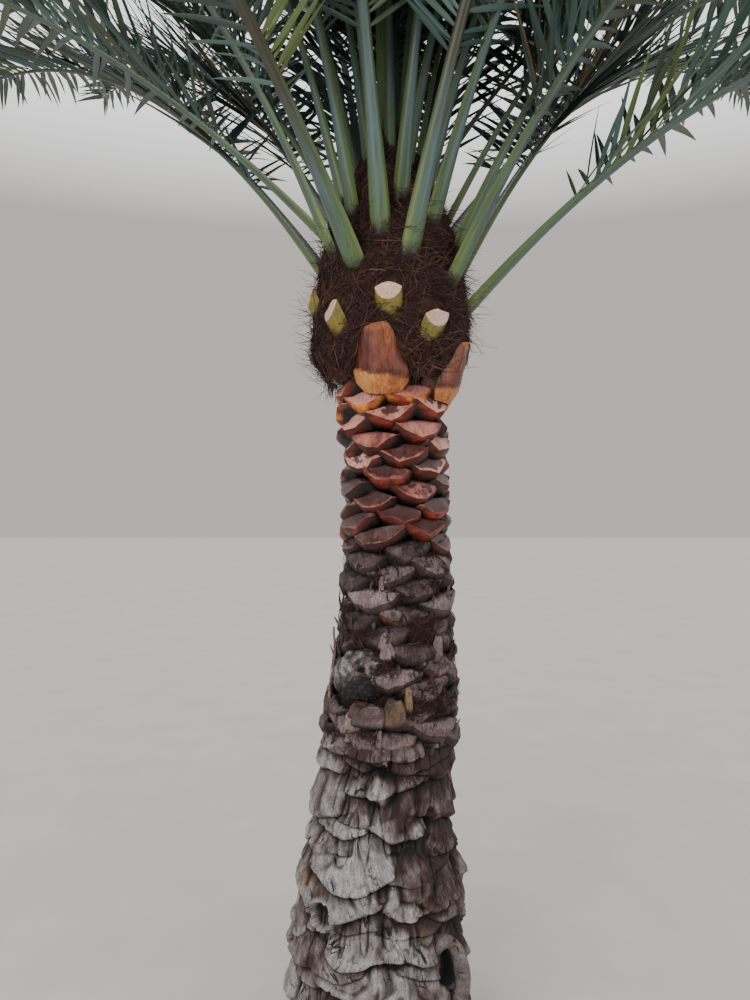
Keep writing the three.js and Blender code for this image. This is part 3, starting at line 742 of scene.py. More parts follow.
def worn_layers(azimuth, z, radius, at):
    """The foot's old bases, layer over layer: their relief, that of the layer below, and the tone
    and grain of the base that lies uppermost."""
    high = z + 30 * lumps(at, 150, 21) + 9 * lumps(at, 48, 22)
    shifted = 44 * lumps(at, 160, 23) + 12 * lumps(at, 46, 24)
    turned = azimuth + np.degrees(shifted / radius)
    relief = np.full(at.shape[:2], -float(GAP_DEPTH))
    second = relief.copy()
    tone = np.zeros(relief.shape)
    grain = np.zeros(at.shape)
    for n in range(OLDEST_BASE, int((FOOT_TOP + 60 - CUT_HEIGHT) / RISE)):
        if chance(n, 57) > KEPT_SHARE:
            continue
        half = radius * math.sin(math.radians(BASE_HALF_TURN)) * (1.55 + jitter(n, 51, 0.55))
        across = aside(turned, leaf_azimuth(n), radius)
        u = across / half
        w = high - (CUT_HEIGHT + RISE * n + jitter(n, 1, 6))
        lip = -20 + 12 * u ** 2 + jitter(n, 55, 18) * u + jitter(n, 53, 15)
        lip = lip + 6 * np.sin(3.2 * u + 6 * chance(n, 52))
        above = w - lip
        under = np.clip(-above, 0, None)
        height = jitter(n, 54, 12) - 9 * u ** 4 - 0.24 * np.clip(above, 0, None)
        height -= 1.9 * under ** 2 / (under + 6) + 70 * np.clip(np.abs(u) - 1, 0, None)
        better = height > relief
        second = np.where(better, relief, np.maximum(second, height))
        relief = np.where(better, height, relief)
        tone = np.where(better, jitter(n, 44, 0.19), tone)
        own = np.stack([across * (1 + 0.004 * w), w, np.full(w.shape, GRAIN_APART * n)], -1)
        grain = np.where(better[..., None], own, grain)
    return relief, second, tone, grain


def weathered_tones(azimuth, z, at, tone, fibrous):
    """The tone of the foot, bleached on its sunny side, and how yellow it is."""
    bleached_to = SUNNY_HEIGHT - SUNNY_SLOPE * (azimuth + 10)
    pale = smooth(60, -60, z - bleached_to + 40 * lumps(at, 80, 26))
    pale = pale * smooth(46, 10, azimuth + 14 * lumps(at, 90, 25)) * smooth(-150, -95, azimuth)
    tone = tone - 0.17 + 0.36 * pale - 0.5 * np.clip(lumps(at, 60, 40) - 0.2, 0, 1)
    tone = tone + 0.1 * lumps(at * (1, 1, 0.5), 18, 41) + 0.09 * fibrous
    yellow = 0.9 * np.clip(lumps(at * (1, 1, 0.6), 60, 27) - 0.2, 0, 1)
    return tone, yellow


def blur(relief):
    """The relief with its ridges smoothed away, to tell how deep a crevice lies."""
    for _ in range(5):
        for axis in (0, 1):
            relief = (np.roll(relief, 1, axis) + relief + np.roll(relief, -1, axis)) / 3
    for _ in range(6):
        relief = (np.roll(relief, 3, 0) + np.roll(relief, -3, 0) + np.roll(relief, 3, 1)
                  + np.roll(relief, -3, 1)) / 4
    return relief


def worn_foot():
    """The foot of the trunk as one relief: old bases in layers, worn soft and split by age."""
    z = np.linspace(0, FOOT_TOP, FOOT_ROWS)[:, None]
    azimuth = (np.arange(FOOT_COLUMNS) * 360 / FOOT_COLUMNS - 180)[None]
    radius = along_outline(TRUNK_OUTLINE, z)
    at = around_stem(azimuth, z, radius)
    relief, second, tone, grain = worn_layers(azimuth, z, radius, at)
    seam = smooth(4.5, 0.5, relief - second)
    fibrous = lumps(grain * (1, 0.14, 1), 9, 42)
    tone, yellow = weathered_tones(azimuth, z, at, tone, fibrous)
    for turn, height, size, rise, paler, yellower in KNOBS:
        across = aside(azimuth, turn, radius)
        up = z - height
        far = np.hypot(across + 8 * lumps(at, 26, 28), 0.86 * up + 8 * lumps(at, 26, 34)) / size
        dome = smooth(1.15, 0.35, far)
        swirl = np.sin(2 * np.arctan2(up, across) + far * 8)
        relief = relief + dome * (rise + 2 * swirl) - 5 * np.exp(-((far - 1.15) / 0.15) ** 2)
        tone = mix(tone, paler + 0.1 * swirl, 0.85 * dome)
        yellow = mix(yellow, yellower, dome)
        seam = seam * (1 - dome)
    turn, height, size = RING_SCAR
    far = np.hypot(aside(azimuth, turn, radius), z - height)
    ring = np.exp(-((far - size) / 7) ** 2)
    inside = smooth(size, size - 5, far)
    seam = seam * (1 - smooth(size + 12, size + 4, far))
    relief = mix(relief, np.maximum(relief, -6), smooth(size + 34, size + 8, far))
    relief = mix(relief, -14 + 3 * lumps(at, 14, 35), inside) + 16 * ring
    tone = mix(mix(tone, 0.1 + 0.12 * lumps(at, 16, 36), inside), 0.34, ring)
    mouth = np.hypot(
        aside(azimuth, STUMP_AZIMUTH, radius) / STUMP_HALF_WIDTH,
        (z - STUMP_HEIGHT) / STUMP_HALF_HEIGHT,
    )
    above_mouth = smooth(262, 232, z)
    relief = relief - 26 * smooth(1.0, 0.7, mouth + above_mouth) - 5 * seam
    splits = lumps(at * (1, 1, 0.3), 34, 29)
    relief = relief - 8 * np.clip(1 - np.abs(splits) / 0.11, 0, 1)
    relief = relief + 3.2 * lumps(at, 22, 30) + 1.7 * fibrous
    blurred = blur(relief)
    # Painted shade in the crevices, along the seams between bases and inside the stump's mouth.
    hollow = smooth(1.02, 0.8, mouth + 0.7 * above_mouth)
    deep = np.maximum(np.clip((blurred - relief) / 11, 0, 1), np.maximum(0.6 * seam, hollow))
    # Painted highlight on the ridges and painted shade in the hollows.
    tone = tone + 0.03 * np.clip(relief - blurred, -3, 4)
    relief = relief - GAP_DEPTH * smooth(BURIED_TOP, FOOT_TOP, z)
    points = around_stem(azimuth, z, radius - 4 + relief)
    faces = grid_faces(FOOT_ROWS, FOOT_COLUMNS, closed=True).tolist()
    faces.append(list(range(FOOT_COLUMNS))[::-1])
    return Heap().add(points, faces, tone=tone, yellow=yellow, deep=deep, grain=grain)


# Pieces of broken wood that stand in the gaps, each as azimuth, height of its foot, length, half
# its width and depth, how far it leans out and sideways in degrees, its finish and its tone.
SHARDS = [
    (-37, 936, 64, 17, 9, 4, 3, 0, 0.26), (-37, 912, 34, 12, 8, 0, 8, 0, 0.24),
    (-79, 1030, 150, 9, 5, -3, 2, 0, 0.26), (-84, 1120, 90, 7, 4, 6, -4, 0, 0.24),
    (-9, 1142, 50, 17, 11, 3, -5, 0, 0.18), (-14, 1172, 48, 11, 8, 6, 10, 0, 0.18),
    (-3, 1150, 44, 9, 8, 8, -14, 0, 0.1), (43, 1136, 70, 17, 8, 8, -10, 0, 0.16),
    (40, 1130, 44, 12, 9, 2, 8, 0, 0.05), (13, 1002, 72, 11, 12, 2, -6, 3, 0.16),
    (-52, 1165, 70, 8, 5, 5, -8, 1, 0.1), (-62, 1168, 80, 9, 5, 4, -2, 1, 0.0),
    (-20, 962, 60, 54, 25, 8, 4, 0, -0.02), (2, 966, 74, 33, 27, 3, -4, 3, -0.06),
    (-30, 985, 44, 30, 22, 6, 12, 2, 0.0),
]
LOOSE_SHARDS = 90
LOOSE_KINDS, LOOSE_SHARES = (0, 1, 3), (0.35, 0.55, 0.1)  # their finishes, and how many of each


def add_shard(heap, azimuth, foot, length, half, depth, lean, tilt, finish, tone, seed):
    """One piece of wood, broken off square or to a point, and split along its grain."""
    v = np.linspace(0, 1, 9)[:, None]
    a = np.radians([0, 40, 90, 140, 180, 220, 270, 320])[None]
    taper = np.interp(v, [0, 0.15, 0.8, 1], [0.8, 1, 0.9, 0.55])
    x, y = (
        size * taper * np.sign(turned) * np.abs(turned) ** 0.6
        for size, turned in ((half, np.cos(a)), (depth, np.sin(a)))
    )
    z = length * v + 0.16 * half * v * np.sin(2 * a + seed) * (v > 0.9)
    x = x + z * math.tan(math.radians(tilt))
    y = y + z * math.tan(math.radians(lean)) + along_outline(TRUNK_OUTLINE, foot) - 12
    points = from_local(azimuth, x, y, foot + z)
    points = points + 2.2 * lumps(points, 15, 37)[..., None]
    grain = np.stack([x + 9 * y, z, np.full(z.shape, SHARD_GRAIN_APART * seed)], -1)
    rows, columns = z.shape
    faces = grid_faces(rows, columns, closed=True).tolist()
    faces.append([(rows - 1) * columns + k for k in range(columns)])
    # Painted shade darkens each shard towards its foot in the trunk.
    deep = np.broadcast_to(smooth(0.25, 0, v), z.shape)
    heap.add(points, faces, finish, tone=tone, deep=deep, grain=grain)


def broken_wood():
    """The larger pieces of broken wood one by one, and splinters strewn over the trunk."""
    heap = Heap()
    for seed, shard in enumerate(SHARDS):
        add_shard(heap, *shard, seed)
    rng = np.random.default_rng(9)
    for seed in range(LOOSE_SHARDS):
        height = rng.uniform(850, 1330)
        size = rng.uniform(3, 8)
        add_shard(
            heap, rng.uniform(-180, 180), height, rng.uniform(22, 60), size, 0.5 * size,
            rng.normal(6, 6), rng.normal(0, 14), int(rng.choice(LOOSE_KINDS, p=LOOSE_SHARES)),
            rng.uniform(-0.1, 0.3), 100 + seed,
        )
    return heap


def trunk_core():
    """The stem itself between and under the leaf bases, and up through the heart of the crown."""
    top = TRUNK_OUTLINE[-1][0]
    z = np.concatenate([np.linspace(830, top, 110), np.linspace(top + 15, 2660, 50)])
    r = np.where(z <= top, along_outline(TRUNK_OUTLINE, z) - 38, along_outline(HEART_OUTLINE, z))
    azimuth = np.arange(120) * 3
    points = around_stem(azimuth[None], z[:, None], r[:, None])
    push = 5 * lumps(points * (1, 1, 0.3), 14, 6) - 3
    points = around_stem(azimuth[None], z[:, None], r[:, None] + push)
    faces = grid_faces(len(z), len(azimuth), closed=True).tolist()
    last = (len(z) - 1) * len(azimuth)
    faces.append(list(range(last, last + len(azimuth))))
    return Heap().add(points, faces)


# Fronds

def frond_traits(n):
    """What one frond is like, from its number alone, by the solids' own rule."""
    age = 1 - n / LAST_FROND
    azimuth = leaf_azimuth(n)
    upright = 1 - max(0, -math.cos(math.radians(azimuth))) ** 2 * BACK_UPRIGHT
    middle_age = 4 * age * (1 - age)
    if n in SEEN_FRONDS:
        turn, lean = SEEN_FRONDS[n]
    else:
        turn = jitter(n, 11, STRAY_TURN)
        lean = mix(YOUNG_LEAN, OLD_LEAN, max(age, 0) ** 0.9) * upright + jitter(n, 12, 1.5)
    return {
        "azimuth": azimuth,
        "heading": azimuth + turn,
        "lean": lean,
        "bend": mix(YOUNG_BEND, OLD_BEND, max(age, 0) ** 0.7) * upright + jitter(n, 13, 4),
        "length": mix(YOUNG_LENGTH, OLD_LENGTH, age) + MIDDLE_GAIN * middle_age + jitter(n, 14, 90),
        "twist": jitter(n, 15, STRAY_TWIST),
        "half_width": mix(YOUNG_HALF_WIDTH, OLD_HALF_WIDTH, max(age, 0) ** 1.1),
        "height": EMERGES_AT + EMERGES_RISE * n - (STUB_DROP if n in STUBS else 0),
    }


def emerges_from(height):
    if height < FIBRE_OUTLINE[-1][0]:
        return along_outline(FIBRE_OUTLINE, height) - 12
    return along_outline(HEART_OUTLINE, height) + 4


def rib_frames(traits, stations):
    """The rib's points, and the ways along it, across it and up out of its face."""
    s = np.asarray(stations, float)
    outward = outward_at(traits["heading"])
    up = np.array([0, 0, 1])
    across = np.cross(up, outward)

    def direction(at):
        bent = traits["bend"] * np.maximum(0, at / traits["length"]) ** BEND_CURVE
        lean = np.radians(traits["lean"] + bent)
        return outward * np.sin(lean)[:, None] + up * np.cos(lean)[:, None]

    start = around_stem(traits["azimuth"], traits["height"], emerges_from(traits["height"]))
    start = start + direction(np.zeros(1))[0] * s[0]
    steps = direction((s[1:] + s[:-1]) / 2) * np.diff(s)[:, None]
    points = start + np.concatenate([np.zeros((1, 3)), np.cumsum(steps, axis=0)])
    along = direction(s)
    turn = np.radians(traits["twist"]) * smooth(STALK_END, traits["length"], s)[:, None]
    side = across * np.cos(turn) + np.cross(along, across) * np.sin(turn)
    return points, along, side, np.cross(along, side)


def rings_on(frames, x, y):
    """Rings of points round a rib, from how far each lies across it and out of its face."""
    points, _, side, face = frames
    return points[:, None] + side[:, None] * x[..., None] + face[:, None] * y[..., None]


def rib_size(traits, s):
    """Half the rib's width and its depth at each distance from where it leaves the fibre."""
    t = np.clip(s / traits["length"], 0, 1)
    flare = 1 - smooth(FLARE_FROM, FLARE_TO, s)
    wide = traits["half_width"] * mix(mix(*RIB_WIDTH, t ** 0.8), 1, flare)
    deep = traits["half_width"] * mix(mix(*RIB_DEPTH, t), FOOT_DEPTH, flare)
    return wide, deep


# The stalk's section, in shares of half its width and of its depth: a dished upper face,
# two sharp edges, steep margins and a rounded back.
STALK_SECTION = np.array([
    (-1, 0.4), (-0.5, 0.31), (0, 0.27), (0.5, 0.31), (1, 0.4), (0.97, 0.12), (0.8, -0.22),
    (0.45, -0.5), (0, -0.6), (-0.45, -0.5), (-0.8, -0.22), (-0.97, 0.12),
])
STALK_MARGIN = np.array([0.7, 0, 0, 0, 0.7, 1, 0.6, 0, 0, 0, 0.6, 1])  # where wax rubs off
STALK_STATIONS, BLADE_STATIONS = 14, 26
TANNED = [7, 10, 13, 24, 29, 34]  # the fronds whose stalks the sun has browned


def add_rib(heap, n, traits):
    """A frond's stalk and rib, marked with how sun-tanned it is and where its wax is rubbed."""
    s = np.concatenate([
        np.linspace(-FOOT_INSET, STALK_END, STALK_STATIONS, endpoint=False),
        np.linspace(STALK_END, traits["length"], BLADE_STATIONS),
    ])
    wide, deep = rib_size(traits, s)
    x = STALK_SECTION[:, 0] * wide[:, None]
    y = STALK_SECTION[:, 1] * deep[:, None]
    station = np.broadcast_to(s[:, None], x.shape)
    tan = 0.8 if n in TANNED else 0.3 * chance(n, 62)
    # The deep mark paints shade on the stalk's foot where it goes into the fibre.
    heap.add(
        rings_on(rib_frames(traits, s), x, y),
        grid_faces(len(s), len(STALK_SECTION), closed=True),
        place=np.clip(station, 0, None) / traits["length"],
        margin=np.broadcast_to(STALK_MARGIN, x.shape),
        tanned=tan * smooth(100, 900, station),
        deep=smooth(40, -30, station),
        grain=np.stack([x, station, y + GRAIN_APART * n], -1),
    )


# A leaflet's stations along its length, and half its width there, in shares of its whole.
LEAFLET_STATIONS = np.array([0, 0.1, 0.32, 0.6, 0.85])
LEAFLET_OUTLINE = np.array([0.34, 0.8, 1, 0.76, 0.36])
LEAFLET_PITCH = 20  # along the rib, from one leaflet to the next on the same side
LEAFLET_HALF_WIDTH = 12
LEAFLET_FOLD = 0.42  # how far a leaflet's edges stand up from its keel, per half width
LEAFLET_LIFTS = (4, 38, 14, 30, 9, 46)  # degrees up from the blade's plane, by turns
LEAFLET_TONES = (
    ("deep_green_leaflet", "#20362F", 32), ("blue_green_leaflet", "#2D4842", 30),
    ("grey_green_leaflet", "#435E58", 18), ("olive_leaflet", "#38452E", 11),
    ("yellow_green_leaflet", "#526134", 6), ("dry_leaflet", "#6E5E42", 2),
)
TONE_SHARES = np.array([share for _, _, share in LEAFLET_TONES], float)
TONE_SHARES /= TONE_SHARES.sum()
SPRAY = 3  # this many leaflets that follow one another have one tone


def leaflets_of(traits, rng):
    """The fine leaflets of one frond: where each starts, its way, its edge's way, its size and
    its tone."""
    length = traits["length"]
    count = int((length - STALK_END) / LEAFLET_PITCH)
    frames = rib_frames(traits, np.linspace(0, length, 400))
    rows = []
    for side_sign in (-1, 1):
        t = (np.arange(count) + 0.5 + rng.uniform(-0.3, 0.3, count)) / count
        s = mix(STALK_END, length, t)
        points, along, side, face = (a[(s / length * 399).round().astype(int)] for a in frames)
        wide, deep = rib_size(traits, s)
        growing = mix(FIRST_LEAFLET, 1, smooth(-0.08, 0.16, t))
        shrinking = mix(1, LAST_LEAFLET, smooth(0.55, 1, t))
        size = LONGEST_LEAFLET * growing * shrinking * (1 + rng.uniform(-0.1, 0.1, count))
        spread = np.radians(mix(*SPREAD, t) + rng.uniform(-6, 6, count))
        turn = (np.arange(count) + (side_sign > 0)) % len(LEAFLET_LIFTS)
        lift = np.radians(np.array(LEAFLET_LIFTS)[turn] + rng.uniform(-5, 5, count))
        way = along * np.cos(spread)[:, None]
        way += side * (side_sign * np.sin(spread) * np.cos(lift))[:, None]
        way += face * (np.sin(spread) * np.sin(lift))[:, None]
        foot = points + side * (side_sign * 0.8 * wide)[:, None] + face * (0.2 * deep)[:, None]
        edge = unit(along - way * np.sum(along * way, axis=1, keepdims=True))
        roll = np.radians(rng.uniform(-35, 35, count))[:, None]
        edge = edge * np.cos(roll) + np.cross(way, edge) * np.sin(roll)
        sprays = rng.choice(len(LEAFLET_TONES), size=count // SPRAY + 1, p=TONE_SHARES)
        rows.append((foot, way, edge, size, sprays.repeat(SPRAY)[:count]))
    return [np.concatenate(parts) for parts in zip(*rows)]


def leaflet_blades(foot, way, edge, size):
    """Folded pointed blades: three points at each station, and one at the tip."""
    half_width = LEAFLET_HALF_WIDTH * (0.15 + 0.85 * size / LONGEST_LEAFLET)
    normal = np.cross(way, edge)
    normal *= np.sign(normal[:, 2:3] + 1e-9)
    u = LEAFLET_STATIONS
    drop = SAG * np.array([0, 0, -1])
    length = size[:, None, None]
    spine = foot[:, None] + way[:, None] * length * u[None, :, None]
    spine = spine + drop * length * (u ** 2)[None, :, None]
    half = (half_width[:, None] * LEAFLET_OUTLINE)[..., None]
    left = spine - edge[:, None] * half + normal[:, None] * half * LEAFLET_FOLD
    right = spine + edge[:, None] * half + normal[:, None] * half * LEAFLET_FOLD
    tip = foot + (way + drop) * size[:, None]
    body = np.stack([left, spine, right], 2).reshape(len(foot), -1, 3)
    points = np.concatenate([body, tip[:, None]], axis=1)
    last = 3 * (len(u) - 1)
    tips = np.array([(last, last + 1, last + 3), (last + 1, last + 2, last + 3)])
    return points, grid_faces(len(u), 3), tips


def crown():
    """The fronds' ribs in one piece and their leaflets in another, with each leaflet's tone."""
    rng = np.random.default_rng(11)
    ribs = Heap()
    rows = []
    for n in FRONDS:
        traits = frond_traits(n)
        add_rib(ribs, n, traits)
        rows.append(leaflets_of(traits, rng))
    *shapes, tone = (np.concatenate(parts) for parts in zip(*rows))
    points, quads, tips = leaflet_blades(*shapes)
    count, per, _ = points.shape
    faces = repeated(quads, count, per).tolist() + repeated(tips, count, per).tolist()
    dealt = np.concatenate([tone.repeat(len(quads)), tone.repeat(len(tips))])
    return ribs, Heap().add(points, faces, dealt)


SPEAR_LENGTHS, SPEAR_LEANS = (1500, 1220), (2, 5)
# Half a spear's width at shares of its length.
SPEAR_OUTLINE = [(-0.03, 19), (0.08, 20), (0.27, 19), (0.54, 16), (0.78, 10), (1, 2)]
SPEAR_SIDES, SPEAR_STATIONS = 20, 30


def add_spear(heap, n):
    """An unopened leaf: its leaflets still folded into one pleated, pointed blade."""
    place = SPEARS.index(n)
    length = SPEAR_LENGTHS[place]
    own = {"lean": SPEAR_LEANS[place], "bend": 5, "length": length, "twist": 0}
    share = np.linspace(SPEAR_OUTLINE[0][0], 1, SPEAR_STATIONS)
    half = along_outline(SPEAR_OUTLINE, share)[:, None]
    corner = np.arange(SPEAR_SIDES)
    turn = corner * 2 * np.pi / SPEAR_SIDES + (share * 1.2)[:, None]
    pleat = np.where(corner % 2, 0.82, 1.02)
    x = half * pleat * np.cos(turn)
    y = 0.7 * half * pleat * np.sin(turn)
    frames = rib_frames({**frond_traits(n), **own}, share * length)
    heap.add(rings_on(frames, x, y), grid_faces(SPEAR_STATIONS, SPEAR_SIDES, closed=True))


# Fibre

FIBRE_TONES = (
    ("dark_palm_fibre", "#1C0E0B"), ("red_brown_palm_fibre", "#3C1D16"),
    ("brown_palm_fibre", "#503027"), ("tan_palm_fibre", "#745042"),
)


def fibre_radius(azimuth, z):
    """How far out the clumped mat of fibre stands, up to the top of the heart."""
    r = along_outline(FIBRE_OUTLINE + [(2560, 108), (2680, 62)], z)
    return r + 9 * lumps(around_stem(azimuth, z, r), 40, 7)


def gap_radius(azimuth, z):
    return along_outline(TRUNK_OUTLINE, z) - 11


def tuft_radius(azimuth, z):
    return along_outline(TRUNK_OUTLINE, z) - 1


def over_bases(azimuth, z, r):
    """From 0 to 1, how far a place lies over one of the long leaf bases, which stand clear."""
    over = 0
    for n in LONG_BASES:
        share = (z - (CUT_HEIGHT + RISE * n - BASE_DROP)) / BASE_HEIGHT
        half = np.interp(share, [-0.1, 0.3, 1, 1.06], [52, 76, 34, 10])
        across = np.abs(aside(azimuth, leaf_azimuth(n), r))
        inside = smooth(1.12, 0.94, across / half) * smooth(-0.14, -0.08, share)
        over = np.maximum(over, inside * smooth(1.05, 0.98, share))
    return over


STUB_LENGTH = 46
STUB_CLEAR_FROM = 24  # strands cross a stub's foot up to this height over its root
STUB_CLEAR_HALF_WIDTH = 32


def over_stubs(azimuth, z, r):
    """Whether a place lies over one of the cut stubs, which stand out of the mat."""
    over = np.zeros(np.shape(z), bool)
    for n in STUBS:
        low = frond_traits(n)["height"] + STUB_CLEAR_FROM
        beside = np.abs(aside(azimuth, leaf_azimuth(n), r)) < STUB_CLEAR_HALF_WIDTH
        over |= beside & (z > low) & (z < low + 1.2 * STUB_LENGTH)
    return over


def strand_paths(rng, count, steps, turns, heights, reach, lift, slope, radius_at):
    """Paths of strands that wander over a surface: slanting both ways, and bowed outwards."""
    z0 = rng.uniform(*heights, count)
    a0 = rng.uniform(*turns, count)
    length = rng.uniform(*reach, count)
    angle = np.radians(rng.normal(slope, 32, count)) * rng.choice((-1, 1), count)
    u = np.linspace(-0.5, 0.5, steps)
    z = z0[:, None] + (length * np.sin(angle))[:, None] * u
    a = a0[:, None] + np.degrees((length * np.cos(angle) / radius_at(a0, z0))[:, None] * u)
    waver = rng.normal(0, 1, (count, 3, 1))
    phase = rng.uniform(0, 2 * np.pi, (count, 3, 1))
    swing = np.sin(phase + waver * 6 * u) * (length / 140)[:, None, None]
    z = z + 9 * swing[:, 0]
    a = a + 2.4 * swing[:, 1]
    bow = rng.uniform(0, 1, count)[:, None] ** 2 * lift * (0.25 + u + 1.5 * u ** 2)
    r = radius_at(a, z) - 7 + bow + 4 * swing[:, 2]
    clear = (over_bases(a, z, r) < 0.5).all(1) & ~over_stubs(a, z, r).any(1)
    outward = around_stem(a0, z0, 1.0) - around_stem(a0, z0, 0.0)
    return around_stem(a, z, r)[clear], outward[clear]


def add_strands(heap, rng, flat, *row):
    """The strands of one row, flat or round, each with one tone of fibre."""
    count, *where, half_widths, shares = row
    paths, outward = strand_paths(rng, count, 6 if flat else 7, *where)
    if flat:
        facing = unit(outward + rng.normal(0, 0.7, outward.shape))
        points, faces, per = ribbons(paths, facing, rng.uniform(*half_widths, len(paths)))
    else:
        points, faces, per = cords(paths, rng.uniform(*half_widths, len(paths)))
    tone = rng.choice(len(FIBRE_TONES), size=len(paths), p=shares)
    heap.add(points, faces, tone.repeat(per))


# Rows of strands, each as their count, their lowest and highest azimuth and height, their least
# and greatest length, how far they bow out, how steeply they slant in degrees, the surface that
# they lie on, their least and greatest half width, and how many have each tone.
EVERYWHERE = (-180, 180)
MAT_ROWS = [
    (14500, EVERYWHERE, (1935, 2470), (30, 130), 22, 42, fibre_radius, (0.5, 1.3),
     (0.38, 0.34, 0.22, 0.06)),
    (2600, EVERYWHERE, (2440, 2680), (30, 90), 14, 60, fibre_radius, (0.5, 1.3),
     (0.38, 0.34, 0.22, 0.06)),
]
STRAY_ROWS = [
    (2300, EVERYWHERE, (1925, 2460), (30, 130), 80, 30, fibre_radius, (0.4, 1.0),
     (0.34, 0.36, 0.24, 0.06)),
    (260, EVERYWHERE, (1930, 2400), (140, 280), 60, 20, fibre_radius, (0.4, 1.0),
     (0.3, 0.36, 0.26, 0.08)),
]
GAP_ROW = (
    2600, EVERYWHERE, (900, 1480), (16, 70), 12, 24, gap_radius, (0.4, 1.0),
    (0.72, 0.25, 0.03, 0.0),
)
# Tufts of fibre torn open between the old bases, each as azimuth, height, half its width in
# degrees, half its height and its count of strands.
TUFTS = [
    (32, 1022, 17, 44, 250), (26, 1228, 13, 38, 150), (-13, 1112, 9, 40, 110),
    (-40, 1216, 12, 32, 90), (-24, 932, 12, 20, 60), (-19, 1367, 7, 14, 40),
    (2, 1330, 10, 12, 45), (38, 1345, 9, 16, 45),
]
TUFTS_BEHIND = 12


def strands(rng, rows, flat=False):
    heap = Heap()
    for row in rows:
        add_strands(heap, rng, flat, *row)
    return heap


def trunk_fibre(rng):
    """Fibre left between the old bases: loose strands in every gap, and tufts here and there."""
    behind = [
        (rng.uniform(62, 298), rng.uniform(930, 1350), rng.uniform(6, 13), rng.uniform(14, 34), 50)
        for _ in range(TUFTS_BEHIND)
    ]
    tuft_rows = [
        (count, (turn - half, turn + half), (height - tall, height + tall), (24, 76), 12, 30,
         tuft_radius, (0.6, 1.2), (0.5, 0.24, 0.23, 0.03))
        for turn, height, half, tall, count in TUFTS + behind
    ]
    return strands(rng, [GAP_ROW] + tuft_rows)


def fibre_bed():
    """The solid mass of fibre under the strands, drawn back from the long leaf bases."""
    z = np.linspace(1938, 2470, 90)[:, None]
    azimuth = (np.arange(180) * 2)[None]
    r = fibre_radius(azimuth, z) - 14
    r = r - 26 * smooth(1990, 1938, z) - 26 * over_bases(azimuth, z, r)
    push = 5 * lumps(around_stem(azimuth, z, r) * (1, 1, 0.6), 13, 8)
    points = around_stem(azimuth, z, r + push)
    return Heap().add(points, grid_faces(*points.shape[:2], closed=True))


# Cut stubs and long leaf bases

STUB_INSET, STUB_SLANT, STUB_SKEW = 72, 36, 0.15
STUB_CROWN = np.array([0.24, 0.42, 0.52, 0.42, 0.24])  # its upper face, swollen and not dished


def add_stub(heap, n):
    """A stalk cut off on a slant: green rind, and a pale face with a low ridge across it."""
    traits = frond_traits(n)
    s = np.array([-STUB_INSET, -20, 0, 18, STUB_LENGTH], float)
    frames = rib_frames(traits, s)
    way = frames[1][-1]
    wide, deep = rib_size(traits, s)
    x = STALK_SECTION[:, 0] * wide[:, None]
    y = np.concatenate([STUB_CROWN, STALK_SECTION[len(STUB_CROWN):, 1]]) * deep[:, None]
    skew = STUB_SKEW + jitter(n, 63, 0.35)
    rings = rings_on(frames, x, y)
    rings[-1] += way * (STUB_SLANT / wide[-1] * (y[-1] + skew * x[-1]))[:, None]
    sides = len(STALK_SECTION)
    heap.add(rings, grid_faces(len(s), sides, closed=True), 1)
    middle = rings[-1].mean(0)
    shares = np.array([1, 0.93, 0.6, 0.25])[:, None, None]
    caps = middle + (rings[-1][None] - middle) * shares
    ridge = 4 * np.sin(np.linspace(0, np.pi, len(shares)))[:, None, None]
    caps = caps + way * (ridge + 2.5 * lumps(caps, 14, 9)[..., None] * (shares < 1))
    heap.add(caps, grid_faces(len(shares), sides, closed=True), 0)
    centre = np.concatenate([caps[-1], [middle + way * 3]])
    heap.add(centre, [(k, (k + 1) % sides, sides) for k in range(sides)], 0)


BASE_DROP, BASE_HEIGHT = 45, 166


